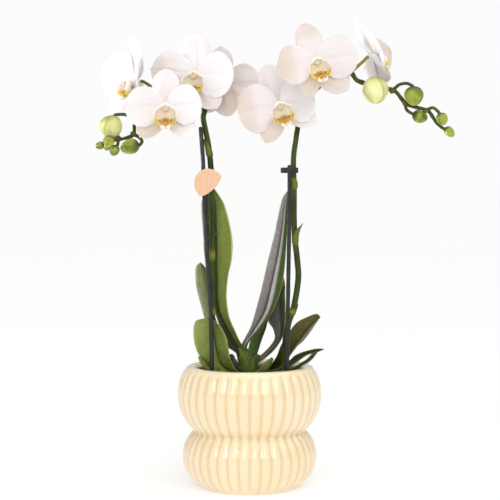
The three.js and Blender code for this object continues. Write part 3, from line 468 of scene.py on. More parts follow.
def lip_look():
    """tint goes from white through tan and gold to yellow and dark. under is 1 on the rim, and side is 1
    where the rim is yellow."""
    look = Look("lip", Roughness=0.5, Specular_IOR_Level=0.3, Subsurface_Weight=0.12, Subsurface_Scale=0.002)
    tint, wander = look.mark("tint"), look.wander(260, 0.12)
    look.colour = look.ramp(look.math("ADD", tint, wander), (0, (252, 248, 244)), (0.12, (236, 226, 206)),
                            (0.3, (224, 209, 178)), (0.5, (214, 176, 92)), (0.62, (214, 166, 62)),
                            (0.75, (250, 216, 84)), (0.86, (214, 170, 118)), (1, (128, 92, 88)))
    look.over((250, 240, 224), look.times(look.patches(520, 2, 0.54, 0.64, 0.6),
                                          look.ramp(tint, (0.1, 0), (0.2, 1), (0.7, 0.2))))
    look.over((206, 158, 66), look.times(look.patches(430, 2, 0.52, 0.62, 0.7, (1, 1, 1.3)),
                                         look.ramp(tint, (0.15, 0), (0.4, 1))))
    specked = look.times(look.ramp(tint, (0.1, 0), (0.3, 0.8)), look.patches(330, 1, 0.48, 0.6))
    look.over((196, 112, 70), look.times(look.dots(820, 0.14, 0.3), specked))
    rim = look.mix(look.mark("side"), (254, 251, 248), (252, 224, 70))
    look.over(rim, look.math("ADD", look.mark("under"), wander, clamp=True))
    look.bump(look.noise(900, 3), 0.3, 0.0003)
    return look.done()


def column_look():
    look = Look("column", (253, 250, 248), Roughness=0.42, Specular_IOR_Level=0.4, Subsurface_Weight=0.2,
                Subsurface_Scale=0.002)
    look.over((244, 234, 224), look.patches(300, 3, 0.35, 0.7, 0.6))
    look.over((222, 204, 168), look.mark("tint"), (0.1, 0), (0.5, 1))
    look.over((236, 160, 112), look.mark("tint"), (0.55, 0), (0.9, 1))
    look.bump(look.noise(700, 2), 0.2, 0.0003)
    return look.done()


def bud_look(name, light, dark, seam):
    look = Look(name, light, Coat_Weight=0.08, Coat_Roughness=0.2, Specular_IOR_Level=0.4,
                Subsurface_Weight=0.08, Subsurface_Scale=0.003)
    cloud = look.patches(90, 5, 0.35, 0.7)
    look.over(dark, cloud)
    look.over(seam, look.mark("along"), (0, 1), (0.35, 0))
    look.over(seam, look.mark("tint"))
    look.over((246, 246, 206), look.dots(900, 0.05, 0.16, 0.5))
    look.bump(look.noise(800, 3), 0.25, 0.0003)
    return look.done(cloud, 0.34, 0.5)


def board_look():
    look = Look("tag_board", Specular_IOR_Level=0.2, Roughness=0.86)
    fibre = look.noise(700, 6, (1, 1, 0.4), 0.7)
    look.colour = look.ramp(fibre, (0.3, (226, 182, 148)), (0.6, (237, 196, 164)), (0.85, (243, 208, 180)))
    look.over((176, 128, 92), look.dots(900, 0.03, 0.09, 0.6, (1, 1, 0.3)))
    look.bump(fibre, 0.35, 0.0002)
    return look.done()


GLAZE = glaze_look()
LINER = plastic_look("liner_plastic", (52, 47, 43), (26, 23, 21), 0.5)
BLACK = plastic_look("black_plastic", (44, 42, 42), (20, 19, 19), 0.36)
BARK = bark_look()
ROOT = root_look()
STEM = green_look("stem", (30, 44, 8), (64, 82, 18), (158, 150, 60), 0.38)
CROWN_SKIN = green_look("crown_skin", (38, 52, 10), (92, 114, 28), (122, 140, 46), 0.36)
PETAL = petal_look()
LIP = lip_look()
COLUMN = column_look()
PALE_BUD = bud_look("pale_bud", (240, 239, 180), (224, 224, 142), (154, 158, 58))
GREEN_BUD = bud_look("green_bud", (174, 180, 64), (104, 118, 24), (60, 74, 12))
BOARD = board_look()

# ---------------------------------------------------------------- cover pot
POT_HEIGHT, RIBS, RIB_DEPTH, WIDEST, NECK = 101.5, 38, 1.4, 60.5, 47.2
LOWER_ARC, UPPER_ARC = (26.0, 28.4, 28.0), (77.5, 20.5, 40.0)  # height, centre radius, arc radius
NECK_ROUNDING = 0.8
VALLEY_ROUNDING = 0.03
STEPS_PER_RIB = 16


def on_arc(arc, z):
    height, centre, radius = arc
    return centre + math.sqrt(max(radius**2 - (z - height) ** 2, 0))


def pot_outline():
    """(radius, z) from the foot up the outside, over the lip and down the inside."""
    profile = [(38.5, 0.0), (42.0, 0.0), (44.0, 1.3)]
    for z in np.linspace(3.2, 91.5, 74):
        low = on_arc(LOWER_ARC, z) if z <= 53 else 0
        high = on_arc(UPPER_ARC, z) if z >= 40 else 0
        profile.append((0.5 * (low + high + math.sqrt((low - high) ** 2 + NECK_ROUNDING**2)), float(z)))
    lip = [[on_arc(UPPER_ARC, z), z] for z in (90, 92, 95)]
    lip += [[54.3, 98.4], [52.3, 100.8], [49.8, POT_HEIGHT], [47.6, 101.2], [46.0, 99.6], [45.4, 97.2],
            [47.5, 93.5]]
    inside = [[47.5, 93.5], [54, 84], [54.6, 74], [53.5, 62], [43, 47], [50, 34], [48, 16], [44, 8],
              [38, 6.2], [20, 6]]
    for curve, ts in ((lip, np.linspace(0.2, 1, 30)), (inside, np.linspace(0.02, 1, 40))):
        profile += [(float(r), float(z)) for r, z in rail(curve, ts)]
    return profile


def cover_pot():
    def ribbed(angles, r, z, outside):
        wave = np.abs(np.sin(np.pi * ((angles + math.pi / 2) / TURN * RIBS)))
        low, high = math.sqrt(VALLEY_ROUNDING), math.sqrt(1 + VALLEY_ROUNDING)
        crest = (np.sqrt(wave**2 + VALLEY_ROUNDING) - low) / (high - low)
        depth = RIB_DEPTH * (r / WIDEST) * smooth(z, 1, 5) * (1 - smooth(z, 96.0, 99.6)) if outside else 0.0
        # tint is painted shade: darker down each rib's valley and in a band round the neck
        tint = (1 - crest) * min(1.0, depth / RIB_DEPTH) + 0.35 * bell(z - NECK, 2.0)
        return r - depth * (1 - crest), tint

    profile = pot_outline()
    peak = max(range(len(profile)), key=lambda i: profile[i][1])
    shape = Shape()
    lathe(shape, [(r, z, i <= peak) for i, (r, z) in enumerate(profile)], RIBS * STEPS_PER_RIB, ribbed)
    shape.piece("cover_pot_glazed", [GLAZE], "cover_pot")


cover_pot()


# ---------------------------------------------------------------- growing pot, bark, crown, root
LINER_FOOT, LINER_MOUTH, LINER_RIM, LINER_BOTTOM, LINER_TOP = 32.0, 42.6, 43.8, 6.3, 95.0
LINER_WALL, LINER_RIBS, LINER_RIB_DEPTH = 0.8, 24, 0.35
BARK_FOOT, BARK_LEVEL, BARK_GAP = 7.4, 86.5, 1.1
CHIPS, CHIP_CORNERS, CHIP_REACH = 210, 9, 41.2


def growing_pot():
    def ribbed(angles, r, z):
        depth = LINER_RIB_DEPTH * smooth(z, 12, 18) * (1 - smooth(z, 84, 88))
        return r - depth * (0.5 + 0.5 * np.cos(angles * LINER_RIBS)), 0.0

    foot, bottom, top, slope = LINER_FOOT, LINER_BOTTOM, LINER_TOP, LINER_MOUTH - LINER_FOOT
    outline = [(foot - 1, bottom), (foot, bottom + LINER_WALL)]
    outline += [(foot + slope * t, bottom + (top - 5 - bottom) * t) for t in np.linspace(0.03, 1, 24)]
    outline += [(LINER_RIM - inset, top - drop) for inset, drop in (
        (0.1, 5), (0, 4.6), (0, 0.4), (0.3, 0), (0.6, 0), (0.8, 0.4), (0.9, 4.8), (2.0, 5.6))]
    outline += [(foot - LINER_WALL + slope * t, bottom + LINER_WALL + (top - 6 - bottom) * t)
                for t in np.linspace(1, 0, 24)]
    shape = Shape()
    lathe(shape, outline, 144, ribbed)
    shape.piece("growing_pot_liner", [LINER], "growing_pot")


def chip(shape, rnd):
    radius = CHIP_REACH * math.sqrt(rnd.random()) * 0.93
    angle = rnd.random() * TURN
    size = rnd.uniform(3.2, 6.6)
    middle = np.array([radius * math.cos(angle), radius * math.sin(angle), rnd.uniform(87.3, 89.6)])
    if radius + size * 0.8 > CHIP_REACH:
        middle[:2] *= (CHIP_REACH - size * 0.8) / max(radius, 1)
    along = unit([rnd.uniform(-1, 1), rnd.uniform(-1, 1), rnd.uniform(-0.35, 0.35)])
    across = square_to(along, np.array([rnd.uniform(-1, 1), rnd.uniform(-1, 1), 0.1]))
    up = np.cross(along, across)
    length, width, high = size, size * rnd.uniform(0.45, 0.8), size * rnd.uniform(0.18, 0.35)
    around = [rnd.uniform(0.75, 1.15) for _ in range(CHIP_CORNERS)]
    rings = []
    for share, level in ((0.62, -1), (0.98, -0.7), (1.0, 0.0), (0.93, 0.75), (0.6, 1)):
        for corner, turn in zip(around, turns(CHIP_CORNERS)):
            r = share * corner * rnd.uniform(0.93, 1.05)
            rings.append(middle + along * length * r * math.cos(turn) + across * width * r * math.sin(turn)
                         + up * high * (level + rnd.uniform(-0.12, 0.12)))
    rings = np.array(rings).reshape(-1, CHIP_CORNERS, 3)
    rings[..., 2] = np.clip(rings[..., 2], 84, 91.4)
    skin(shape, rings, middle - up * high, middle + up * high, tint=rnd.random())


def bark_mix():
    """A solid core that fills the growing pot, and loose chips on top of it."""
    def radius_at(z):
        slope = (LINER_MOUTH - LINER_FOOT) / 83.7
        return LINER_FOOT + slope * (z - LINER_BOTTOM) - BARK_GAP

    shape = Shape()
    angles = turns(96)
    rows = [level_ring(angles, radius_at(z) * (1 - 0.004 * np.sin(angles * 17 + z)), z)
            for z in np.linspace(BARK_FOOT, BARK_LEVEL, 8)]
    for share in (0.97, 0.9, 0.8, 0.65, 0.5, 0.35, 0.2, 0.08):
        z = 87.3 + 0.7 * np.sin(angles * 7 + share * 9) * np.cos(angles * 4 - share * 13)
        rows.append(level_ring(angles, radius_at(BARK_LEVEL) * share, z))
    skin(shape, rows, [0, 0, BARK_FOOT], [0, 0, 87.4], tint=0.2)
    rnd = random.Random(11)
    for _ in range(CHIPS):
        chip(shape, rnd)
    made = shape.piece("bark_chips", [BARK], "bark")
    made.data.polygons.foreach_set("use_smooth", [False] * len(made.data.polygons))


# points, half widths, half depths and tint of each sheath: left, right and middle
SHEATHS = [
    ([[-2.0, 1.6, 84], [-2.2, 1.4, 94], [-3.0, 0.6, 102], [-5.2, -0.6, 108], [-8.2, -1.0, 113.5],
      [-11.0, -1.8, 118.5]], [6.6, 6.8, 6.4, 5.2, 3.6, 1.4], [7.4, 7.6, 6.6, 4.6, 2.4, 0.7], 0.05),
    ([[1.2, 2.6, 84], [1.4, 2.6, 94], [2.2, 2.4, 101], [4.4, 3.2, 106], [8.2, 5.0, 109.5]],
     [6.0, 6.2, 5.4, 3.6, 1.2], [6.8, 7.0, 6.2, 4.2, 1.2], 0.0),
    ([[-1.0, 4.2, 96], [-1.6, 4.6, 104], [-2.6, 4.4, 110], [-3.4, 3.6, 115]],
     [5.2, 5.0, 3.8, 1.8], [4.6, 3.8, 2.4, 0.9], 0.0),
]


def crown():
    """A short thick stem in three sheaths, which part into the tall leaves."""
    shape = Shape()
    ts, angles = np.linspace(0, 1, 41), turns(44)
    for points, widths, depths, tint in SHEATHS:
        centres, along = rail(points, ts), directions(points, ts, 0.01)
        rings = []
        for t, centre, tangent, (wide, deep) in zip(ts, centres, along, rail(list(zip(widths, depths)), ts)):
            across = square_to(tangent, np.array([1.0, 0, 0]))
            ridge = 1 + 0.012 * np.cos(angles * 9 + 2 * t) + 0.008 * np.cos(angles * 23)
            rings.append(centre + (wide * np.cos(angles) * ridge)[:, None] * across
                         + (deep * np.sin(angles) * ridge)[:, None] * np.cross(tangent, across))
        skin(shape, rings, centres[0], centres[-1] + along[-1] * 0.4, tint=tint)
    shape.piece("crown_stub", [CROWN_SKIN], "crown")


def aerial_root():
    shape = Shape()
    points = [[-5, -0.5, 98], [-10, -6, 100.5], [-13, -8.5, 105.5], [-15.5, -8.5, 110]]
    tube(shape, points, [2.1, 2.2, 2.3, 2.7], 22, 12, blunt=(0.3, 0.8),
         swell=lambda c: 0.18 * np.sin(c[:, 2] * 2.1) + 0.1 * np.sin(c[:, 2] * 5.3))
    shape.piece("aerial_root_tip", [ROOT], "aerial_root")


growing_pot()
bark_mix()
crown()
aerial_root()

# ---------------------------------------------------------------- leaves
# Each blade lies between three rails, from its base to its tip: left edge, midrib, right edge.
LEAVES = {
    "leaf_tall_left": [
        [[-4.5, -1.5, 107], [-9, -4, 110], [-20.5, -6, 125.5], [-26, -6, 137.5], [-29.5, -6, 149.5],
         [-32, -7, 163], [-37, -9, 194.5], [-38, -9, 208.5], [-40, -7, 228.5], [-39, -4, 242.5],
         [-30, 0, 250]],
        [[-3.5, 0, 110], [-8, -2, 116], [-14.5, -3, 125.5], [-23, -4, 141], [-27, -4, 154],
         [-28, -4, 171], [-29, -2, 210], [-29, 0, 230], [-30, 2, 243.5], [-30, 0, 250]],
        [[-3, -1, 114], [-8.5, -6, 123], [-13, -9, 132.5], [-17.5, -10, 144], [-19.5, -12, 160],
         [-17.5, -12, 178.5], [-14.5, -12, 191.5], [-14, -11, 204.5], [-16.5, -8, 219.5], [-21, -4, 235],
         [-25.5, -2, 243.5], [-30, 0, 250]]],
    "leaf_torn": [
        [[-5, 3, 104], [-11.5, 4.5, 111.5], [-18, 5, 115.5], [-27.5, 4.5, 120.5], [-35, 4, 131],
         [-39, 4, 144.5], [-44.5, 4, 165.5], [-45.5, 4, 175.5], [-45, 5, 184], [-42, 6, 187.5]],
        [[-4.5, 4, 107], [-11.5, 6, 113.5], [-19, 6.5, 119.5], [-30, 6, 128], [-33.5, 5, 141],
         [-36, 5, 154.5], [-41, 6.5, 177], [-41.5, 7, 183.5], [-41.5, 6.5, 187]],
        [[-4, 2, 110], [-11.5, 2, 117.5], [-19, 2, 123], [-25.5, 1, 134.5], [-30.5, 2, 147],
         [-34.5, 4, 170.5], [-36, 5, 180], [-38.5, 6, 185], [-41.5, 6, 187.5]]],
    "leaf_front": [
        [[-4, -5, 92.5], [-18, -9.5, 95], [-34.5, -14.5, 103], [-42, -18, 112.5], [-45.5, -20, 121.5],
         [-46.5, -20, 131.5], [-45, -20, 139.5], [-41, -19, 141.5]],
        [[-3, -4.5, 94], [-14, -8.5, 96], [-24, -12, 104], [-28, -13, 115], [-30, -13, 126],
         [-31, -14, 134], [-32, -15, 140], [-34.5, -16, 142.5]],
        [[-2, -5, 95.5], [-9, -11, 97], [-14, -15.5, 105], [-17, -18, 114], [-19, -19, 124.5],
         [-22.5, -19, 133], [-26.5, -19, 138.5], [-29, -18, 140.5]]],
    "leaf_tall_right": [
        [[-3, 5.5, 106], [-7, 7.5, 113.5], [-6.5, 7, 119], [-3, 6.5, 125.5], [2, 6, 135.5], [8.5, 6, 156.5],
         [14, 6, 181.5], [20.5, 6, 210], [25.5, 6, 235], [28.5, 6, 243.5], [33, 4, 249]],
        [[-2, 4, 107], [-4.5, 4.5, 114], [-3.5, 3, 119.5], [-0.5, 1.5, 124.5], [4.5, -1, 131.5],
         [13.5, -3, 148], [19, -1, 170], [25.5, 2, 202.5], [29.5, 4, 234], [32.5, 4, 247]],
        [[-0.5, 4, 108], [-2.5, 4, 113], [-1, 1, 119.5], [3, 0, 125], [8.5, -1.5, 131.5],
         [19, -3, 146.5], [26.5, 0, 165.5], [29.5, 2, 184], [31, 4, 210], [32, 4, 237.5], [33, 4, 247.5]]],
    "leaf_cupped": [
        [[2, 4.5, 103], [10.5, 9, 110], [17.5, 12, 116.5], [21.5, 14, 123], [20, 15, 130.5],
         [15.5, 16, 137.5], [14, 17, 150], [17.5, 16, 163.5], [24, 14, 175.5]],
        [[2.5, 4, 101.5], [12, 7, 107.5], [20, 9, 115], [25.5, 11, 123.5], [26, 13, 132.5],
         [25, 14, 142.5], [24, 14, 153.5], [25, 14, 165.5], [26.5, 12, 178.5]],
        [[3, 3.5, 100], [14.5, 6, 108], [22.5, 7, 116], [28, 8, 126], [30, 8, 137], [30.5, 8, 148],
         [30, 8, 159], [29.5, 8, 169.5], [27.5, 10, 180]]],
    "leaf_dark": [
        [[-2, 5, 98], [-1, 11, 103], [-1, 12.5, 114.5], [3.5, 16, 125.5], [10.5, 20, 134.5], [15.5, 22, 142]],
        [[-0.5, 5.5, 97], [1, 11.5, 102.5], [3, 14, 114.5], [7, 18, 123.5], [12.5, 21, 131.5],
         [15.5, 23, 141]],
        [[1, 5, 96.5], [3.5, 10.5, 102], [7, 13, 111], [10, 17, 120], [13.5, 20, 130], [16, 22, 140]]],
    "leaf_right": [
        [[3.5, 4, 96], [14, 4.5, 97], [22, 3, 107.5], [27, 1, 119.5], [34.5, -1, 131],
         [39.5, -2, 137.5], [46, -3, 141.5], [51.5, -4, 144], [56.5, -5, 145], [59, -5, 142.5]],
        [[4, 6, 94.5], [15, 6.5, 95.5], [26, 6.5, 102], [35, 5, 114.5], [40.5, 3, 123.5],
         [46.5, 1, 131], [51.5, -1, 136.5], [56, -3, 141], [59, -5, 142.5]],
        [[4.5, 6.5, 93], [17, 7, 93.5], [27, 5, 98], [32.5, 4, 106.5], [39, 2, 116],
         [44, 0, 121.5], [50, -2, 129], [55, -3, 136], [59, -5, 142.5]]],
    "leaf_split": [
        [[4, 0, 97], [15, -2.5, 97.5], [24.5, -5, 100], [33.5, -6, 106.5], [37.5, -8, 110.5],
         [43.5, -10, 113.5], [49.5, -12, 115.5], [56, -14, 117], [62, -16, 117]],
        [[4.5, 0, 96], [16, -3, 96], [26, -5.5, 98.5], [34, -6.5, 104], [39.5, -8, 108.5],
         [44.5, -9.5, 111.5], [50.5, -11.5, 113.5], [56, -13.5, 115], [62, -16, 117]],
        [[5, 0, 94.5], [17, -4, 94.5], [27, -7, 96], [34.5, -8.5, 102], [41, -10, 106.5],
         [45.5, -11, 110], [50, -12.5, 112.5], [56, -14, 114], [62, -16, 117]]],
    "leaf_sheath": [
        [[0, -4, 94], [8.5, -9, 99.5], [12.5, -9.5, 105], [18.5, -8, 109]],
        [[2, -4, 92.5], [11.5, -11, 97.5], [16, -11, 103.5], [18.8, -8.8, 108.8]],
        [[3.5, -4, 92.5], [14, -9, 97], [18, -9.5, 103], [19.5, -8, 108.5]]],
}
STRIPS = {
    "leaf_front": [
        [[-24, -10.5, 96.5], [-34.5, -17, 99.5], [-40, -22, 105], [-42.5, -25, 111]],
        [[-24, -11, 98.5], [-33, -15, 101.5], [-37.5, -20, 107.5], [-40.5, -24.5, 112]],
        [[-24, -11.5, 101], [-31, -14, 103.5], [-35, -20, 109], [-39, -25, 112.5]]],
    "leaf_split": [
        [[19, -4, 97], [30, -10, 98.5], [38, -13, 102], [43, -14, 105.5], [47, -14.5, 108],
         [51, -14.5, 112], [55, -14, 115]],
        [[19.5, -4, 96], [31, -9.5, 97.5], [39, -12.5, 101], [43.5, -13.5, 104], [48, -14, 106.5],
         [52, -14, 110.5], [56, -13.8, 115]],
        [[20, -4.5, 95], [32, -10, 96.5], [40, -13, 100], [44, -14, 103], [48.5, -15, 105.5],
         [53, -15, 109.5], [57, -14.2, 115]]],
}
GREEN, GREY, SHADE = (112, 128, 58), (154, 149, 146), (84, 78, 74)
# colours across the blade, seen from the front and from behind; some front stops are painted light and shade,
# as said above each blade
LEAF_PAINT = {
    # leaf_tall_left: the dark stops left of the midrib are painted shade on the half in shadow; the pale left
    # edge is partly the margin's own colour, partly painted light
    "leaf_tall_left": ([(0, (214, 208, 178)), (0.08, (128, 124, 96)), (0.16, (72, 80, 38)),
                        (0.42, (62, 70, 30)), (0.55, (48, 54, 20)), (0.61, (120, 137, 60)),
                        (0.8, (132, 149, 69)), (0.96, (130, 147, 66)), (1, (176, 190, 112))],
                       [(0, GREEN), (0.5, (86, 104, 46)), (1, GREEN)]),
    # leaf_torn: the darkening towards the right edge is painted shade from the stake
    "leaf_torn": ([(0, (204, 206, 172)), (0.2, (170, 172, 128)), (0.5, (150, 158, 106)),
                   (0.7, (104, 120, 60)), (1, (74, 92, 38))],
                  [(0, (150, 158, 110)), (1, (100, 114, 60))]),
    # leaf_front: the narrow dark stop at 0.54 is a painted shadow line along the midrib
    "leaf_front": ([(0, (170, 182, 108)), (0.05, (146, 160, 84)), (0.42, (144, 156, 80)),
                    (0.49, (116, 130, 58)), (0.54, (34, 42, 12)), (0.6, (108, 124, 50)),
                    (0.94, (124, 144, 62)), (1, (158, 172, 92))],
                   [(0, (96, 110, 52)), (0.5, (84, 96, 44)), (1, (96, 110, 52))]),
    # leaf_tall_right: SHADE and the dark stop after it are painted shade in the fold
    "leaf_tall_right": ([(0, (196, 192, 188)), (0.06, GREY), (0.34, (138, 131, 127)), (0.44, SHADE),
                         (0.48, (60, 55, 50)), (0.55, (192, 189, 185)), (0.68, (160, 157, 153)),
                         (0.72, (66, 84, 30)), (0.94, (72, 92, 34)), (1, (168, 184, 104))],
                        [(0, (96, 114, 48)), (0.5, (70, 88, 34)), (1, (96, 114, 48))]),
    # leaf_cupped: the dark stop at 0.66 is painted shade, and the pale right edge is painted light on the lit
    # rim
    "leaf_cupped": ([(0, (150, 148, 130)), (0.1, (92, 86, 78)), (0.5, (112, 105, 98)), (0.66, (52, 48, 38)),
                     (0.8, (56, 70, 26)), (0.95, (66, 82, 32)), (1, (150, 168, 90))],
                    [(0, (90, 106, 44)), (1, (72, 88, 36))]),
    # leaf_dark: the darkening towards the right edge is painted shade
    "leaf_dark": ([(0, (96, 122, 40)), (0.4, (84, 112, 34)), (0.7, (58, 78, 20)), (1, (40, 52, 14))],
                  [(0, (90, 114, 38)), (1, (66, 88, 26))]),
    "leaf_right": ([(0, (116, 110, 52)), (0.05, (94, 90, 36)), (0.46, (88, 84, 32)), (0.54, (66, 66, 22)),
                    (0.72, (84, 80, 34)), (0.8, (136, 122, 112)), (1, (158, 146, 136))],
                   [(0, (92, 100, 48)), (1, (84, 92, 44))]),
    "leaf_split": ([(0, (96, 116, 40)), (0.15, (50, 64, 18)), (0.5, (34, 42, 12)), (0.85, (46, 58, 18)),
                    (1, (112, 112, 70))],
                   [(0, (60, 70, 32)), (1, (60, 70, 32))]),
    "leaf_sheath": ([(0, (146, 166, 84)), (0.15, (92, 112, 44)), (0.5, (84, 102, 40)), (0.85, (96, 116, 46)),
                     (1, (150, 170, 88))],
                    [(0, (90, 108, 44)), (1, (90, 108, 44))]),
}
# painted shade near the base of a blade: how far across it reaches, fades, starts and ends along the blade
LEAF_SHADE = {"leaf_tall_left": (0.44, 0.56, 0.03, 0.62), "leaf_right": (0.6, 1.0, 0.06, 0.4)}
# how far the light green of the base reaches along the blade
LEAF_FOOT = {"leaf_tall_left": 0.2, "leaf_tall_right": 0.06, "leaf_front": 0.1, "leaf_dark": 0.02,
             "leaf_right": 0.08, "leaf_split": 0.08}
PLAIN_FOOT = 0.14
SPECKED, FEW_SPECKS = 0.8, 0.15
LEAF_THICKNESS = 1.2


def blade(shape, rails, rows, columns, phase, wave=0.45):
    t = 1 - np.power(1 - np.linspace(0, 1, rows), 1.1)
    left, middle, right = [rail(points, t)[:, None] for points in rails]
    s = np.linspace(-1, 1, columns)[None]
    flat, along = np.abs(s), t[:, None]
    half, rise = (right - left) / 2, (left + right) / 2 - middle
    fold = 0.5 * (np.sqrt(s * s + 0.002) - math.sqrt(0.002)) + 0.5 * s * s
    scale = np.clip(np.linalg.norm(half, axis=-1) / 8, 0, 1)
    rib = bell(flat, 0.07) * (1 - 0.7 * along)
    thick = LEAF_THICKNESS * (1 - 0.55 * flat**8) * (1 + 0.35 * rib)
    lift = -0.3 * rib * scale + wave * scale * flat**3 * np.sin(along * 11 + phase + 1.7 * np.sign(s))
    lift = lift + 0.12 * scale * np.sin(along * 37 + 5 * flat + phase)
    sheet(shape, middle + half * s[..., None] + rise * fold[..., None], thick,
          lift=lift * np.sin(np.pi * along) ** 0.5)


for number, (name, rails) in enumerate(LEAVES.items()):
    shape = Shape()
    blade(shape, rails, 96 if "tall" in name else 60, 33, number * 1.3)
    if name in STRIPS:
        blade(shape, STRIPS[name], 40, 17, number, 0.2)
    look = leaf_look(name + "_skin", *LEAF_PAINT[name], LEAF_FOOT.get(name, PLAIN_FOOT),
                     SPECKED if name == "leaf_tall_left" else FEW_SPECKS, LEAF_SHADE.get(name))
    shape.piece(name + "_blade", [look], name)

# ---------------------------------------------------------------- blooms
BASE_SEPAL = dict(layer=-1.6, hollow=-0.008)
LOW_SEPAL = dict(BASE_SEPAL, length=34, width=20, bend=6, gain=-22, widest=1.05, round=0.56)
WIDE_PETAL = dict(length=34, width=35, bend=2, gain=-14, widest=1.12, round=0.5, layer=0.8, hollow=-0.006)
TEPALS = {
    "top": dict(BASE_SEPAL, angle=0, length=33, width=23, bend=-4, gain=-10, widest=1.12, round=0.54),
    "lowRight": dict(LOW_SEPAL, angle=142),
    "lowLeft": dict(LOW_SEPAL, angle=-142),
    "right": dict(WIDE_PETAL, angle=82),
    "left": dict(WIDE_PETAL, angle=-82),
}
# how beige each tepal is at its base and at its tip, from 0, white, to 1: mostly painted shade on the tepals
# that lie in shadow, with a faint blush of their own
BLOOMS = {
    "a": dict(
        centre=[-97.5, 20, 339.5], yaw=-60, pitch=4, roll=2, scale=1.1,
        top=dict(bend=-2, gain=32, length=35, width=23),
        left=dict(bend=6, gain=28, length=36, width=41, angle=-76),
        right=dict(bend=8, gain=28, length=32, width=36, angle=84),
        lowLeft=dict(bend=6, gain=42, length=31, angle=-140),
        lowRight=dict(bend=6, gain=42, length=31, angle=140),
        lip=dict(up=-5.6, out=4, size=0.88),
        blush_and_shade=dict(top=(0, 0), left=(0.05, 0), right=(0.05, 0), lowLeft=(0.3, 0.1), lowRight=(0.3, 0.1))),
    "b": dict(
        centre=[-68.5, -26, 317], yaw=0, pitch=6, roll=-1, scale=1,
        top=dict(length=31), left=dict(angle=-88, length=32.5, width=34),
        right=dict(angle=84, length=28, width=34), lowLeft=dict(angle=-138, length=32),
        lowRight=dict(angle=140, length=32),
        blush_and_shade=dict(top=(0.2, 0.15), left=(0.25, 0.25), right=(0.1, 0), lowLeft=(1.0, 0.75),
                   lowRight=(0.9, 0.05))),
    "c": dict(
        centre=[-45.5, -6, 344.5], yaw=-8, pitch=8, roll=0, scale=1,
        top=dict(length=35, width=25), left=dict(length=37, width=33.5),
        right=dict(angle=92, length=31, width=39), lowLeft=dict(angle=-150, length=33),
        lowRight=dict(angle=146, length=33, width=24),
        blush_and_shade=dict(top=(0.1, 0.2), left=(0.15, 0.6), right=(0.1, 0), lowLeft=(0.8, 0.6),
                   lowRight=(0.8, 0.4))),
    "d": dict(
        centre=[-23.5, 20, 340.5], yaw=168, pitch=-6, roll=0, scale=1,
        top=dict(length=27.5, width=20), left=dict(length=31.5, width=28, angle=-90),
        right=dict(length=30, width=28, angle=84), lowLeft=dict(length=30.5, width=23, angle=-165),
        lowRight=dict(length=30, width=22, angle=150),
        blush_and_shade=dict(top=(0.3, 0.2), left=(0.5, 0.35), right=(0.3, 0.2), lowLeft=(0.75, 0.6),
                   lowRight=(0.5, 0.4))),
    "e": dict(
        centre=[24.5, -14, 319], yaw=2, pitch=6, roll=-16.6, scale=1,
        top=dict(length=35.5, width=24), left=dict(angle=-82, length=33.3, width=41),
        right=dict(angle=92, length=29, width=38), lowLeft=dict(angle=-144, length=32),
        lowRight=dict(angle=132, length=33, width=20),
        blush_and_shade=dict(top=(0.25, 0.4), left=(0.2, 0.75), right=(0.1, 0), lowLeft=(0.65, 0.75),
                   lowRight=(0.8, 0.1))),
    "f": dict(
        centre=[53.5, -34, 353.5], yaw=6, pitch=8, roll=-15, scale=0.975,
        top=dict(length=33, width=22), left=dict(angle=-84, length=32, width=34),
        right=dict(angle=94, length=35, width=37), lowLeft=dict(angle=-153, length=31, width=17),
        lowRight=dict(angle=147, length=35, width=27),
        blush_and_shade=dict(top=(0.2, 0.65), left=(0.3, 0.8), right=(0.3, 0.35), lowLeft=(0.85, 0.75),
                   lowRight=(1, 0.5))),
    "g": dict(
        centre=[103, 8, 361.5], yaw=100, pitch=26, roll=0, scale=0.98,
        top=dict(bend=-20, gain=51, length=35, width=14),
        left=dict(bend=2, gain=-9, angle=-75, length=35, width=42),
        right=dict(bend=12, gain=56, angle=97, length=38, width=35),
        lowLeft=dict(bend=2, gain=8, angle=-142, length=28, width=29),
        lowRight=dict(bend=-8, gain=-10, angle=142, length=25, width=25),
        lip=dict(up=-8.5, out=2, size=0.8),
        blush_and_shade=dict(top=(0, 0), left=(0, 0), right=(0.8, 0.78), lowLeft=(0.05, 0.4), lowRight=(0.3, 0.1))),
}
ROOTED = 1  # how far from the bloom's middle a tepal starts
TEPAL_THICKNESS = 0.7
LIP_THICKNESS = 0.8
LIP_ROOT = dict(up=-9.8, out=2.4, size=1)
LIP_EDGE = [[0, 6.3, -1.2], [24, 9, 3.5], [48, 9.8, 5.8], [85, 9.2, 8], [115, 9.1, 7.5], [143, 8.2, 4],
            [165, 9, 4.2], [180, 10, 5.6]]
BEND_STEPS = 16


def bloom_axes(yaw, pitch, roll):
    y, p, r = [math.radians(v) for v in (yaw, pitch, roll)]
    out = np.array([math.sin(y) * math.cos(p), -math.cos(y) * math.cos(p), math.sin(p)])
    plain_up = np.array([-math.sin(y) * math.sin(p), math.cos(y) * math.sin(p), math.cos(p)])
    plain_across = np.cross(plain_up, out)
    up = plain_up * math.cos(r) + plain_across * math.sin(r)
    across = plain_across * math.cos(r) - plain_up * math.sin(r)
    return across, up, out


def bent_line(length, bend, gain, t):
    """How far along and how far out a line of this length is, at shares t, as its slope grows by gain."""
    k = (np.arange(BEND_STEPS)[None] + 0.5) / BEND_STEPS
    slope = np.radians(bend + gain * t[:, None] * k)
    return [part.sum(1) * length * t / BEND_STEPS for part in (np.cos(slope), np.sin(slope))]


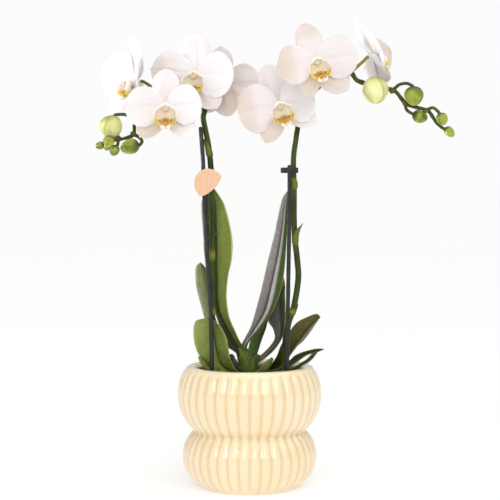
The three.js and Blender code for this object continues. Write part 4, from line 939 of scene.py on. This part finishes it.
def tepal_grid(tepal, rows, columns, phase):
    turn = math.radians(tepal["angle"])
    t = (1 - np.cos(np.pi * np.linspace(0, 1, rows))) / 2
    share = t ** tepal["widest"]
    half = tepal["width"] / 2 * np.power(np.maximum(4 * share * (1 - share), 0), tepal["round"])
    reach, lift = bent_line(tepal["length"], tepal["bend"], tepal["gain"], t)
    half, reach, lift, t = [value[:, None] for value in (half, reach, lift, t)]
    s = np.linspace(-1, 1, columns)[None]
    wide = np.clip(half / 12, 0, 1)
    side = s * half * (1 + 0.035 * np.abs(s) * np.sin(t * 6 + phase + 1.3 * np.sign(s)))
    along = reach + ROOTED + 0.55 * t**3 * np.sin(4 * s + phase)
    swell = np.sin(np.pi * t)
    ruffle = 1.1 * wide * np.abs(s) ** 3 * np.sin(t * 8.5 + phase + 2.1 * np.sign(s))
    groove = -0.75 * bell(s, 0.1) * swell * wide
    folds = wide * swell * (0.5 * np.sin(s * 6 + phase) + 0.15 * np.sin(s * 15 + 3 * t + 2 * phase))
    folds = folds + 0.8 * wide * np.sin(t * 4.5 + s * 1.5 + phase) * s * s
    out = lift + tepal["layer"] + tepal["hollow"] * side**2 + ruffle + groove + folds
    return np.stack([side * math.cos(turn) + along * math.sin(turn),
                     along * math.cos(turn) - side * math.sin(turn), out], -1), t, s


def lip_grid(root, rows, columns):
    """The lip from its middle to its edge, through a smooth closed edge."""
    edge = np.array(LIP_EDGE + [[360 - angle, radius, out] for angle, radius, out in LIP_EDGE[-2:0:-1]])
    edge = np.vstack([edge[-3:] - [360, 0, 0], edge, edge[:3] + [360, 0, 0]])
    degrees = np.linspace(0, 360, columns)
    place = np.interp(degrees, edge[:, 0], np.arange(len(edge))) / (len(edge) - 1)
    _, radius, out = rail(edge, place).T
    t, turn = np.linspace(0, 1, rows)[:, None], np.radians(degrees)[None]
    reach = radius * root["size"] * np.sin(t * np.pi / 2)
    rise = out * root["size"] * t**2.2 + 0.25 * t**3 * np.sin(turn * 13)
    grid = [reach * np.sin(turn), root["up"] + reach * np.cos(turn), root["out"] + rise]
    return np.stack(grid, -1), t, turn


def bloom_body(letter, data, place, axes):
    """The sepals and petals, and the column with its wings."""
    across, up, out = axes
    shape = Shape()
    for number, (name, plain) in enumerate(TEPALS.items()):
        tepal = dict(plain, **data[name])
        rows, columns = (44, 41) if tepal["width"] > 30 else (36, 27)
        grid, t, s = tepal_grid(tepal, rows, columns, ord(letter) * 1.7 + number * 2.3)
        # the tepal's painted shade, from its base to its tip, with a faint blush of its own
        low, high = data["blush_and_shade"][name]
        thick = TEPAL_THICKNESS * (1 - 0.5 * np.abs(s) ** 6) * (1.15 - 0.4 * t)
        sheet(shape, place(grid), thick, low + (high - low) * smooth(t, 0.25, 0.95))
    tube(shape, place([[0, 0, -3.2], [0, 0, -1], [0, 0, 1.4]]), [1.9, 2.4, 2.8], 24, 5, 1)
    egg(shape, place([0, -1, 3.6]), out - 0.35 * up, 8, 5.6, 1)
    for sign in (-1, 1):
        egg(shape, place([sign * 2.2, -1.3, 4.6]), out - 0.9 * up + 0.75 * sign * across, 6.4, 2.8, 1, 0.42,
            rings=14, sides=18)
    egg(shape, place([0, -3.1, 5.7]), out - 1.3 * up, 4.2, 4.6, 1, 0.42, seams=2, depth=0.35, rings=16,
        sides=24)
    arch = [[-5.2, -2.6, 6.4], [-3.6, -0.6, 7.0], [0, 0.3, 7.6], [3.6, -0.6, 7.0], [5.2, -2.6, 6.4]]
    tube(shape, place(arch), [0.5, 0.85, 1.0, 0.85, 0.5], 18, 8, 1)
    egg(shape, place([0, -0.9, 8.1]), out - 0.5 * up, 1.5, 1.6, 1, 1.0, rings=10, sides=14)
    shape.piece("bloom_%s_tepals" % letter, [PETAL, COLUMN], "bloom_" + letter)


def bloom_lip(letter, data, place, axes):
    across, up, out = axes
    root = dict(LIP_ROOT, **data.get("lip", {}))
    grid, t, turn = lip_grid(root, 26, 121)
    degrees = np.degrees(np.minimum(turn, TURN - turn))
    rim = smooth(t, 0.74, 0.88) * (1 - 0.75 * smooth(degrees, 118, 140))
    yellow = smooth(degrees, 78, 104) * (1 - smooth(degrees, 150, 162))
    if letter == "a":
        yellow = smooth(degrees, 96, 112)
    # throat and flank lay tan inside the lip's cup: partly the lip's own colour, partly painted shade inside
    # the cup
    throat = smooth(degrees, 96, 140) * (1 - smooth(t, 0.5, 0.8))
    flank = bell(degrees - 118, 16) * smooth(t, 0.45, 0.65)
    tongue = smooth(degrees, 152, 166) * smooth(t, 0.42, 0.6)
    shape = Shape()
    sheet(shape, place(grid), LIP_THICKNESS * (1.1 - 0.45 * t**4), 0.2 + 0.35 * throat + 0.25 * flank,
          wrap=True, side=yellow * (1 - tongue), under=np.maximum(rim, tongue))

    def inner(points):
        return place(np.array(points) * root["size"] + [0, root["up"], root["out"]])

    for sign in (-1, 1):
        # the two-lobed callus in the throat, the inner edge of each side lobe, and a tendril of the tongue
        mirror = [sign, 1, 1]
        egg(shape, inner([sign * 1.4, -1.6, 1.6]), out + 0.4 * up, 4.2, 2.5, 0, 0.6, rings=14, sides=20)
        fold = np.array([[2.6, -5.4, 1.8], [5.2, -4.8, 3.4], [6.8, -2.6, 5.6]]) * mirror
        tube(shape, inner(fold), [0.4, 0.8, 0.4], 14, 8, 0, 0.75)
        egg(shape, inner([sign * 4.6, -2.2, 2.2]), out + 0.3 * sign * across, 2.4, 1.1, 0, 1.0, rings=12,
            sides=16)
        tip = np.array([[1.2, -8.4, 4.9], [2.4, -9.4, 6.6], [3.5, -8.4, 8.0], [3.3, -6.8, 8.2]]) * mirror
        tube(shape, inner(tip), [0.95, 0.7, 0.36], 14, 8, 0, 0.02)
    egg(shape, inner([0, -5.2, 3.0]), out - 0.5 * up, 6.0, 2.4, 0, 0.55, rings=14, sides=20)
    egg(shape, inner([0, -8.2, 4.8]), out - 0.6 * up, 3.0, 1.8, 0, 0.7, rings=12, sides=16)
    shape.piece("lip_%s_lobes" % letter, [LIP], "lip_" + letter)


def bloom(letter, data):
    axes = np.stack(bloom_axes(data["yaw"], data["pitch"], data["roll"]))

    def place(points):
        return np.asarray(data["centre"]) + data["scale"] * (np.asarray(points, float) @ axes)

    bloom_body(letter, data, place, axes)
    bloom_lip(letter, data, place, axes)


for letter, data in BLOOMS.items():
    bloom(letter, data)

# ---------------------------------------------------------------- flower spikes
STALK, PEDICEL, STAKE = 2.5, 1.35, 1.75  # radii
SPIKES = {
    "left": dict(
        stalk=[[-21, -2, 84], [-24, -3, 101], [-27, -5, 113], [-30, -7.5, 125], [-31, -10, 140.5],
               [-31, -12.5, 157.5], [-31, -13, 210.5], [-31.5, -13, 244.5], [-32, -12, 266], [-34, -9, 285],
               [-37, -6, 300], [-38.5, -2, 309], [-37.5, 3, 316], [-41.5, 6, 324]],
        branch=[[-41.5, 6, 324], [-51.5, 7, 329.5], [-65, 7, 332], [-76.5, 6, 330.5], [-85.5, 4, 325.5],
                [-92.5, 2, 317], [-95.5, 0, 309.5], [-96, -1, 302.5], [-96.5, -1, 295], [-101, -1, 292.5],
                [-107, 0, 291], [-110, 0, 291.5], [-115.5, 0, 288.5], [-122, 0, 288]],
        branch_radii=[1.9, 1.7, 1.5, 1.2],
        pedicels=[
            ([[-79, 6, 331], [-84.5, 14, 336.5], [-91, 21, 340.5]], "a"),
            ([[-75, 5, 330.5], [-71.5, -8, 324], [-69, -18, 318]], "b"),
            ([[-42.5, 6, 324.5], [-43.5, 6, 332], [-45, 1, 342]], "c"),
            ([[-37.5, 3, 317], [-32, 3, 317], [-27.5, 7, 325.5], [-24, 13, 336.5]], "d"),
            ([[-95.5, 0, 307.5], [-102.5, 0, 311], [-108, 0, 311.5], [-113, 0, 310]], "bud_left"),
            ([[-96.5, -1, 295], [-91.5, -2, 292], [-89.5, -4, 288.5], [-92.5, -5, 285], [-95, -5, 284.5]],
             ""),
            ([[-109, 0, 291], [-112.5, -6, 290.5], [-116.5, -11, 291]], ""),
            ([[-109.5, 0, 291], [-110, -2, 286], [-111.5, -3, 283.5]], ""),
            ([[-116.5, 0, 288], [-118, -2, 286]], "")],
        buds=[([-99.5, -5, 284.5], [-1, 0, -0.25], 16, 12.6),
              ([-116.5, -12, 288.5], [-0.2, -0.3, -1], 10.2, 9.4),
              ([-112.5, -4, 281.5], [-0.3, 0, -1], 9.4, 8.4), ([-118.5, -3, 284.5], [-0.4, -0.4, -1], 7, 6),
              ([-125, 0, 285.5], [-0.9, 0, -0.3], 7.6, 6.6)],
        nodes=[279, 196, 148], bracts=[(277, 292, -160, 1.2)]),
    "right": dict(
        stalk=[[27.5, -1, 84], [28.5, -1, 96], [29.3, -1.5, 107], [29.7, -3.5, 118], [31, -7, 130],
               [33, -9, 140], [36.8, -8.8, 151], [40.5, -8, 174.5], [39.5, -8, 192], [37.5, -7, 209.5],
               [37, -7, 227], [37, -7, 250], [36.5, -5, 273.5], [38.5, -2, 290], [41.5, 2, 307],
               [46.5, 3, 320.5]],
        branch=[[46.5, 3, 320.5], [54, 3, 331], [64, 3, 339.5], [74, 3, 343.5], [84, 3, 346.5],
                [89, 3, 340.5], [95, 4, 338], [105, 5, 335.5], [114, 4, 333], [121.5, 3, 331],
                [130.5, 2, 320.5], [139, 2, 317.5], [149, 2, 314.5], [156.5, 2, 304], [162.5, 2, 299.5],
                [165.5, 2, 298]],
        branch_radii=[2.2, 2.1, 1.9, 1.5, 1.2],
        pedicels=[
            ([[46.5, 3, 320.5], [38.5, 2, 320], [29.5, -4, 319]], "e"),
            ([[64, 3, 339.5], [60, -10, 346], [55, -25, 353]], "f"),
            ([[84, 3, 346.5], [90.5, 4, 352], [96.5, 6, 357.5]], "g"),
            ([[105, 5, 335.5], [104.5, 2.5, 334]], "bud_right"),
            ([[119.5, 3, 331.5], [122.5, 1, 334.5], [125.5, -1, 336.5], [131, -3, 337], [135.5, -4, 334.5],
              [136.5, -4, 331.5]], ""),
            ([[129.5, 2, 321], [131.5, 5, 315.5], [136, 6, 312.5], [139.5, 7, 311.5]], ""),
            ([[147.5, 2, 315], [152.5, -1, 317], [156.5, -3, 314], [158.5, -4, 311]], "")],
        buds=[([136.5, -4, 326.5], [0.05, 0, -1], 16.4, 16), ([143, 8, 310], [1, 0.3, -0.3], 13.4, 11),
              ([160, -4, 307.5], [0.3, 0, -1], 10.6, 9.8), ([167, 2, 297], [0.7, 0, -0.8], 10.4, 7.6)],
        nodes=[252, 206, 147], bracts=[(250, 259, -100, 0.4), (205, 221, -5, 4.6), (145, 155, 60, 0.5)]),
}
PALE_BUDS = {
    "bud_left": ([-115.5, 0, 301], [0.25, 0.1, -1], 19.5, 19),
    "bud_right": ([104, -9, 330.5], [-0.1, -0.3, -1], 22.5, 21.5),
}
BRACT_WRAP = math.radians(150)


def stalk_at(stalk, z):
    points = rail(stalk, np.linspace(0, 1, 400))
    return points[np.argmin(np.abs(points[:, 2] - z))]


def bract(shape, stalk, low, high, facing, flare):
    """A scale that clasps the stalk and comes to a point."""
    grid = []
    for t in np.linspace(0, 1, 17):
        z = low + (high - low) * t
        angles = math.radians(facing) + BRACT_WRAP * (1 - t) ** 0.75 * np.linspace(-1, 1, 21)
        row = stalk_at(stalk, z) + level_ring(angles, STALK * 1.06 + 0.25 + flare * t**2, 0)
        row[:, 2] = z
        grid.append(row)
    sheet(shape, np.array(grid), 0.45, 0.35)


def pedicel(shape, route, end):
    """A bloom's or bud's own stem, from the spike to where it ends."""
    points, tint = list(route), 0.1
    if end in BLOOMS:
        flower = BLOOMS[end]
        out = bloom_axes(flower["yaw"], flower["pitch"], flower["roll"])[2]
        points += [np.array(flower["centre"]) - out * (behind * flower["scale"] + 0.3) for behind in (6, 3)]
        tint = 0.8 if end == "g" else 0.4
    elif end:
        points.append(PALE_BUDS[end][0])
    tube(shape, points, [PEDICEL * 1.15, PEDICEL, PEDICEL, PEDICEL * 1.05], 18, 8, 0, tint,
         lambda c: 0.05 * np.sin(c[:, 0] * 2.3))
    foot = np.array(points[0], float)
    egg(shape, foot, points[1] - foot, 6.4, 4.4, 0, 0.2, seams=3, rings=16, sides=22)


def spike(side, data):
    shape = Shape()

    def near_nodes(c, high, width):
        return sum(high * bell(c[:, 2] - z, width) for z in data["nodes"])

    tube(shape, data["stalk"], [STALK * 1.1, STALK, STALK * 0.85], 28, 10, 0,
         lambda c: np.clip(near_nodes(c, 0.8, 2.2), 0, 1), lambda c: near_nodes(c, 0.35, 1.8), (0.2, 0.5))
    tube(shape, data["branch"], data["branch_radii"], 22, 8, 0, 0.05,
         lambda c: 0.16 * np.sin(c[:, 0] * 0.55) + 0.08 * np.sin(c[:, 0] * 1.7))
    for route, end in data["pedicels"]:
        pedicel(shape, route, end)
    for number, bud in enumerate(data["buds"]):
        egg(shape, *bud, 1, seams=3, depth=0.45, turn=number * 0.9 + 0.5)
    for scale in data["bracts"]:
        bract(shape, data["stalk"], *scale)
    shape.piece("spike_%s_stem" % side, [STEM, GREEN_BUD], "spike_" + side)


for side, data in SPIKES.items():
    spike(side, data)
for (name, bud), turn, lean in zip(PALE_BUDS.items(), (2.1, 0.95), (0.5, -0.65)):
    shape = Shape()
    # pale buds: beside is painted shade on one side of each seam
    egg(shape, *bud, seams=3, depth=0.8, rings=44, sides=72, turn=turn, lean=lean, start=-1.0, beside=0.45)
    shape.piece(name + "_pale", [PALE_BUD], name)

# ---------------------------------------------------------------- stakes, clips, tag
STAKES = {
    "left": [[-29.5, -20, 62], [-31, -20.5, 100.5], [-32, -20, 146], [-35, -18.5, 192.5],
             [-37.5, -16.5, 244.5], [-38.5, -14, 273.5], [-40.5, -11, 299.5]],
    "right": [[31, -17.5, 58], [31, -17.5, 99.5], [32, -15, 168], [33, -12, 235.5], [33, -11, 268]],
}
for side, points in STAKES.items():
    shape = Shape()
    tube(shape, points, [STAKE], 24, 14, blunt=(1.4, 0.8), swell=lambda c: 0.05 * np.sin(c[:, 2] * 0.9))
    shape.piece("stake_%s_rod" % side, [BLACK], "stake_" + side)

EYE_STEPS, EYE_SIDES = 48, 24
CLIP_RIDGES = 4


def squared(values, power):
    """Sines or cosines of a circle, pushed out towards a square; the lower the power, the squarer."""
    return np.sign(values) * np.abs(values) ** power


def eye(shape, centre, inner, outer, height):
    """A round eye with rounded rims."""
    around, angles = turns(EYE_SIDES), turns(EYE_STEPS)[:, None]
    radii = (outer + inner) / 2 + (outer - inner) / 2 * squared(np.cos(around), 1 / 3)
    level = centre[2] + height / 2 * squared(np.sin(around), 1 / 3) + 0 * angles
    points = np.stack([centre[0] + radii * np.cos(angles), centre[1] + radii * np.sin(angles), level], -1)
    index = np.arange(EYE_STEPS * EYE_SIDES).reshape(EYE_STEPS, EYE_SIDES)
    turned, right = np.roll(index, -1, 0), np.roll(index, -1, 1)
    faces = np.stack([index, turned, np.roll(turned, -1, 1), right], -1).reshape(-1, 4).tolist()
    shape.add(points.reshape(-1, 3), faces)


def plate(shape, low, high):
    """A block with rounded edges between two corners."""
    low, high = np.array(low, float), np.array(high, float)
    middle, half = (low + high) / 2, (high - low) / 2
    around = turns(40)
    rows = []
    for share in -np.cos(np.linspace(0.02, math.pi - 0.02, 15)):
        level = squared(share, 0.35)
        reach = (1 - abs(level) ** 8) ** 0.125
        corner = [reach * squared(part, 0.3) for part in (np.cos(around), np.sin(around))]
        rows.append(middle + half * np.stack([*corner, np.full_like(around, level)], -1))
    skin(shape, rows, [middle[0], middle[1], low[2]], [middle[0], middle[1], high[2]])


def clip(name, stalk_eye, stake_eye, height, width, depth, x, y):
    """An eye round the stalk, one round the stake, and a ridged tab between them, which has its middle at
    x, y."""
    shape = Shape()
    eye(shape, stalk_eye, STALK * 0.97 + 0.25, STALK + 1.45, height)
    eye(shape, stake_eye, STAKE + 0.12, STAKE + 1.35, height)
    bottom = stake_eye[2] - height / 2
    left, right, front = x - width / 2, x + width / 2, y - depth / 2
    plate(shape, [left, front, bottom], [right, front + depth, bottom + height])
    for k in range(CLIP_RIDGES):
        level = bottom + height * (k + 1) / (CLIP_RIDGES + 1)
        plate(shape, [left - 0.15, front - 0.2, level - 0.22], [right - 0.6, front + 0.3, level + 0.22])
    shape.piece(name + "_body", [BLACK], name)


clip("stalk_clip", [36.6, -5.6, 264.9], [33, -11, 264.9], 4.6, 6, 1.8, 28.8, -10.5)
clip("tag_clip", [-31.8, -12.5, 256], [-37.8, -15.7, 256], 5, 4, 4.4, -34.5, -16.8)

TAG_PLANE, TAG_HALF = -19.8, 0.4
TAG_EDGE = [[-45.5, 254], [-43.5, 261.5], [-36.5, 266], [-29, 265], [-23.5, 260.5], [-25, 255], [-31, 248],
            [-39.5, 243.5], [-44, 247.5]]
TAG_STEPS = 12  # between two points of its edge


def tag():
    closed = TAG_EDGE[-2:] + TAG_EDGE + TAG_EDGE[:3]
    ts = (2 + np.arange(len(TAG_EDGE) * TAG_STEPS) / TAG_STEPS) / (len(closed) - 1)
    outline = rail([[x, TAG_PLANE, z] for x, z in closed], ts)
    middle = outline.mean(0)
    middle[1] = TAG_PLANE
    deep = np.array([0, TAG_HALF, 0])
    rounding = [(3.0, 1), (0.25, 1), (0.06, 0.72), (0.0, 0.3)]
    rounding = [(inset, -depth) for inset, depth in rounding] + rounding[::-1]
    rows = [outline + unit(middle - outline) * inset + deep * depth for inset, depth in rounding]
    shape = Shape()
    skin(shape, rows, middle - deep, middle + deep)
    shape.piece("tag_plate", [BOARD], "tag")


tag()

# ---------------------------------------------------------------- floor, light, camera: in metres
FLOOR_REACH = 60.0
FLOOR_GLOW = 0.515
SEEN_FROM_OBJECT, SEEN_FROM_CAMERA, GLOSS_EXTRA = 0.32, 0.97, 0.3  # strengths of the world
PHOTO_WIDTH, FOCAL_PIXELS, SENSOR_WIDTH = 500, 1555.018, 36.0
CAMERA_PLACE, CAMERA_DROP = (0.00035, -1.3, 0.256), 0.04432079

floor_look = Look("floor", (196, 196, 195), Roughness=0.9, Specular_IOR_Level=0.0,
                  Emission_Color=(1, 1, 1, 1), Emission_Strength=FLOOR_GLOW)
floor_look.over((200, 200, 199), floor_look.noise(3, 2))
floor_look.done()
floor_mesh = bpy.data.meshes.new("floor")
corners = [(x * FLOOR_REACH, y * FLOOR_REACH, 0) for x, y in ((-1, -1), (1, -1), (1, 1), (-1, 1))]
floor_mesh.from_pydata(corners, [], [(0, 1, 2, 3)])
floor_mesh.materials.append(floor_look.material)
floor = link("floor", floor_mesh)


def softbox(name, place, aim, width, height, power, spread=180):
    light = bpy.data.lights.new(name, "AREA")
    light.shape, light.size, light.size_y, light.energy = "RECTANGLE", width, height, power
    light.spread = math.radians(spread)
    made = link(name, light)
    made.location = place
    made.rotation_euler = (Vector(aim) - Vector(place)).to_track_quat("-Z", "Y").to_euler()


for number, (x, power) in enumerate(((-0.85, 5.9), (0.15, 7.6), (1.15, 4.4))):
    softbox("front_strip_%d" % number, (x, -2.1, 1.1), (0, 0, 0.12), 0.4, 1.1, power)
softbox("left_softbox", (-1.9, -0.5, 0.55), (0, 0, 0.3), 1.4, 1.1, 3.4)
softbox("bloom_kicker", (-1.5, 0.1, 0.42), (0.1, 0, 0.39), 0.5, 0.2, 0.35, 14)
sky = bpy.data.lights.new("overhead", "SUN")
sky.energy, sky.angle = 1.6, math.radians(80)
link("overhead", sky).rotation_euler = (math.radians(14), math.radians(10), 0)

world = bpy.data.worlds.new("studio")
world.use_nodes = True
bpy.context.scene.world = world
nodes, links = world.node_tree.nodes, world.node_tree.links
background = nodes["Background"]
background.inputs["Color"].default_value = (1, 1, 1, 1)
path = nodes.new("ShaderNodeLightPath")
seen = nodes.new("ShaderNodeMapRange")
seen.inputs["To Min"].default_value = SEEN_FROM_OBJECT
seen.inputs["To Max"].default_value = SEEN_FROM_CAMERA
links.new(path.outputs["Is Camera Ray"], seen.inputs["Value"])
mirrored = nodes.new("ShaderNodeMath")
mirrored.operation = "MULTIPLY_ADD"
mirrored.inputs[1].default_value = GLOSS_EXTRA
links.new(path.outputs["Is Glossy Ray"], mirrored.inputs[0])
links.new(seen.outputs[0], mirrored.inputs[2])
links.new(mirrored.outputs[0], background.inputs["Strength"])
bpy.context.scene.view_settings.view_transform = "Standard"

camera_data = bpy.data.cameras.new("camera")
camera_data.sensor_width, camera_data.lens = SENSOR_WIDTH, FOCAL_PIXELS / PHOTO_WIDTH * SENSOR_WIDTH
camera = link("camera", camera_data)
camera.location = CAMERA_PLACE
camera.rotation_euler = (math.pi / 2 - CAMERA_DROP, 0, 0)
bpy.context.scene.camera = camera
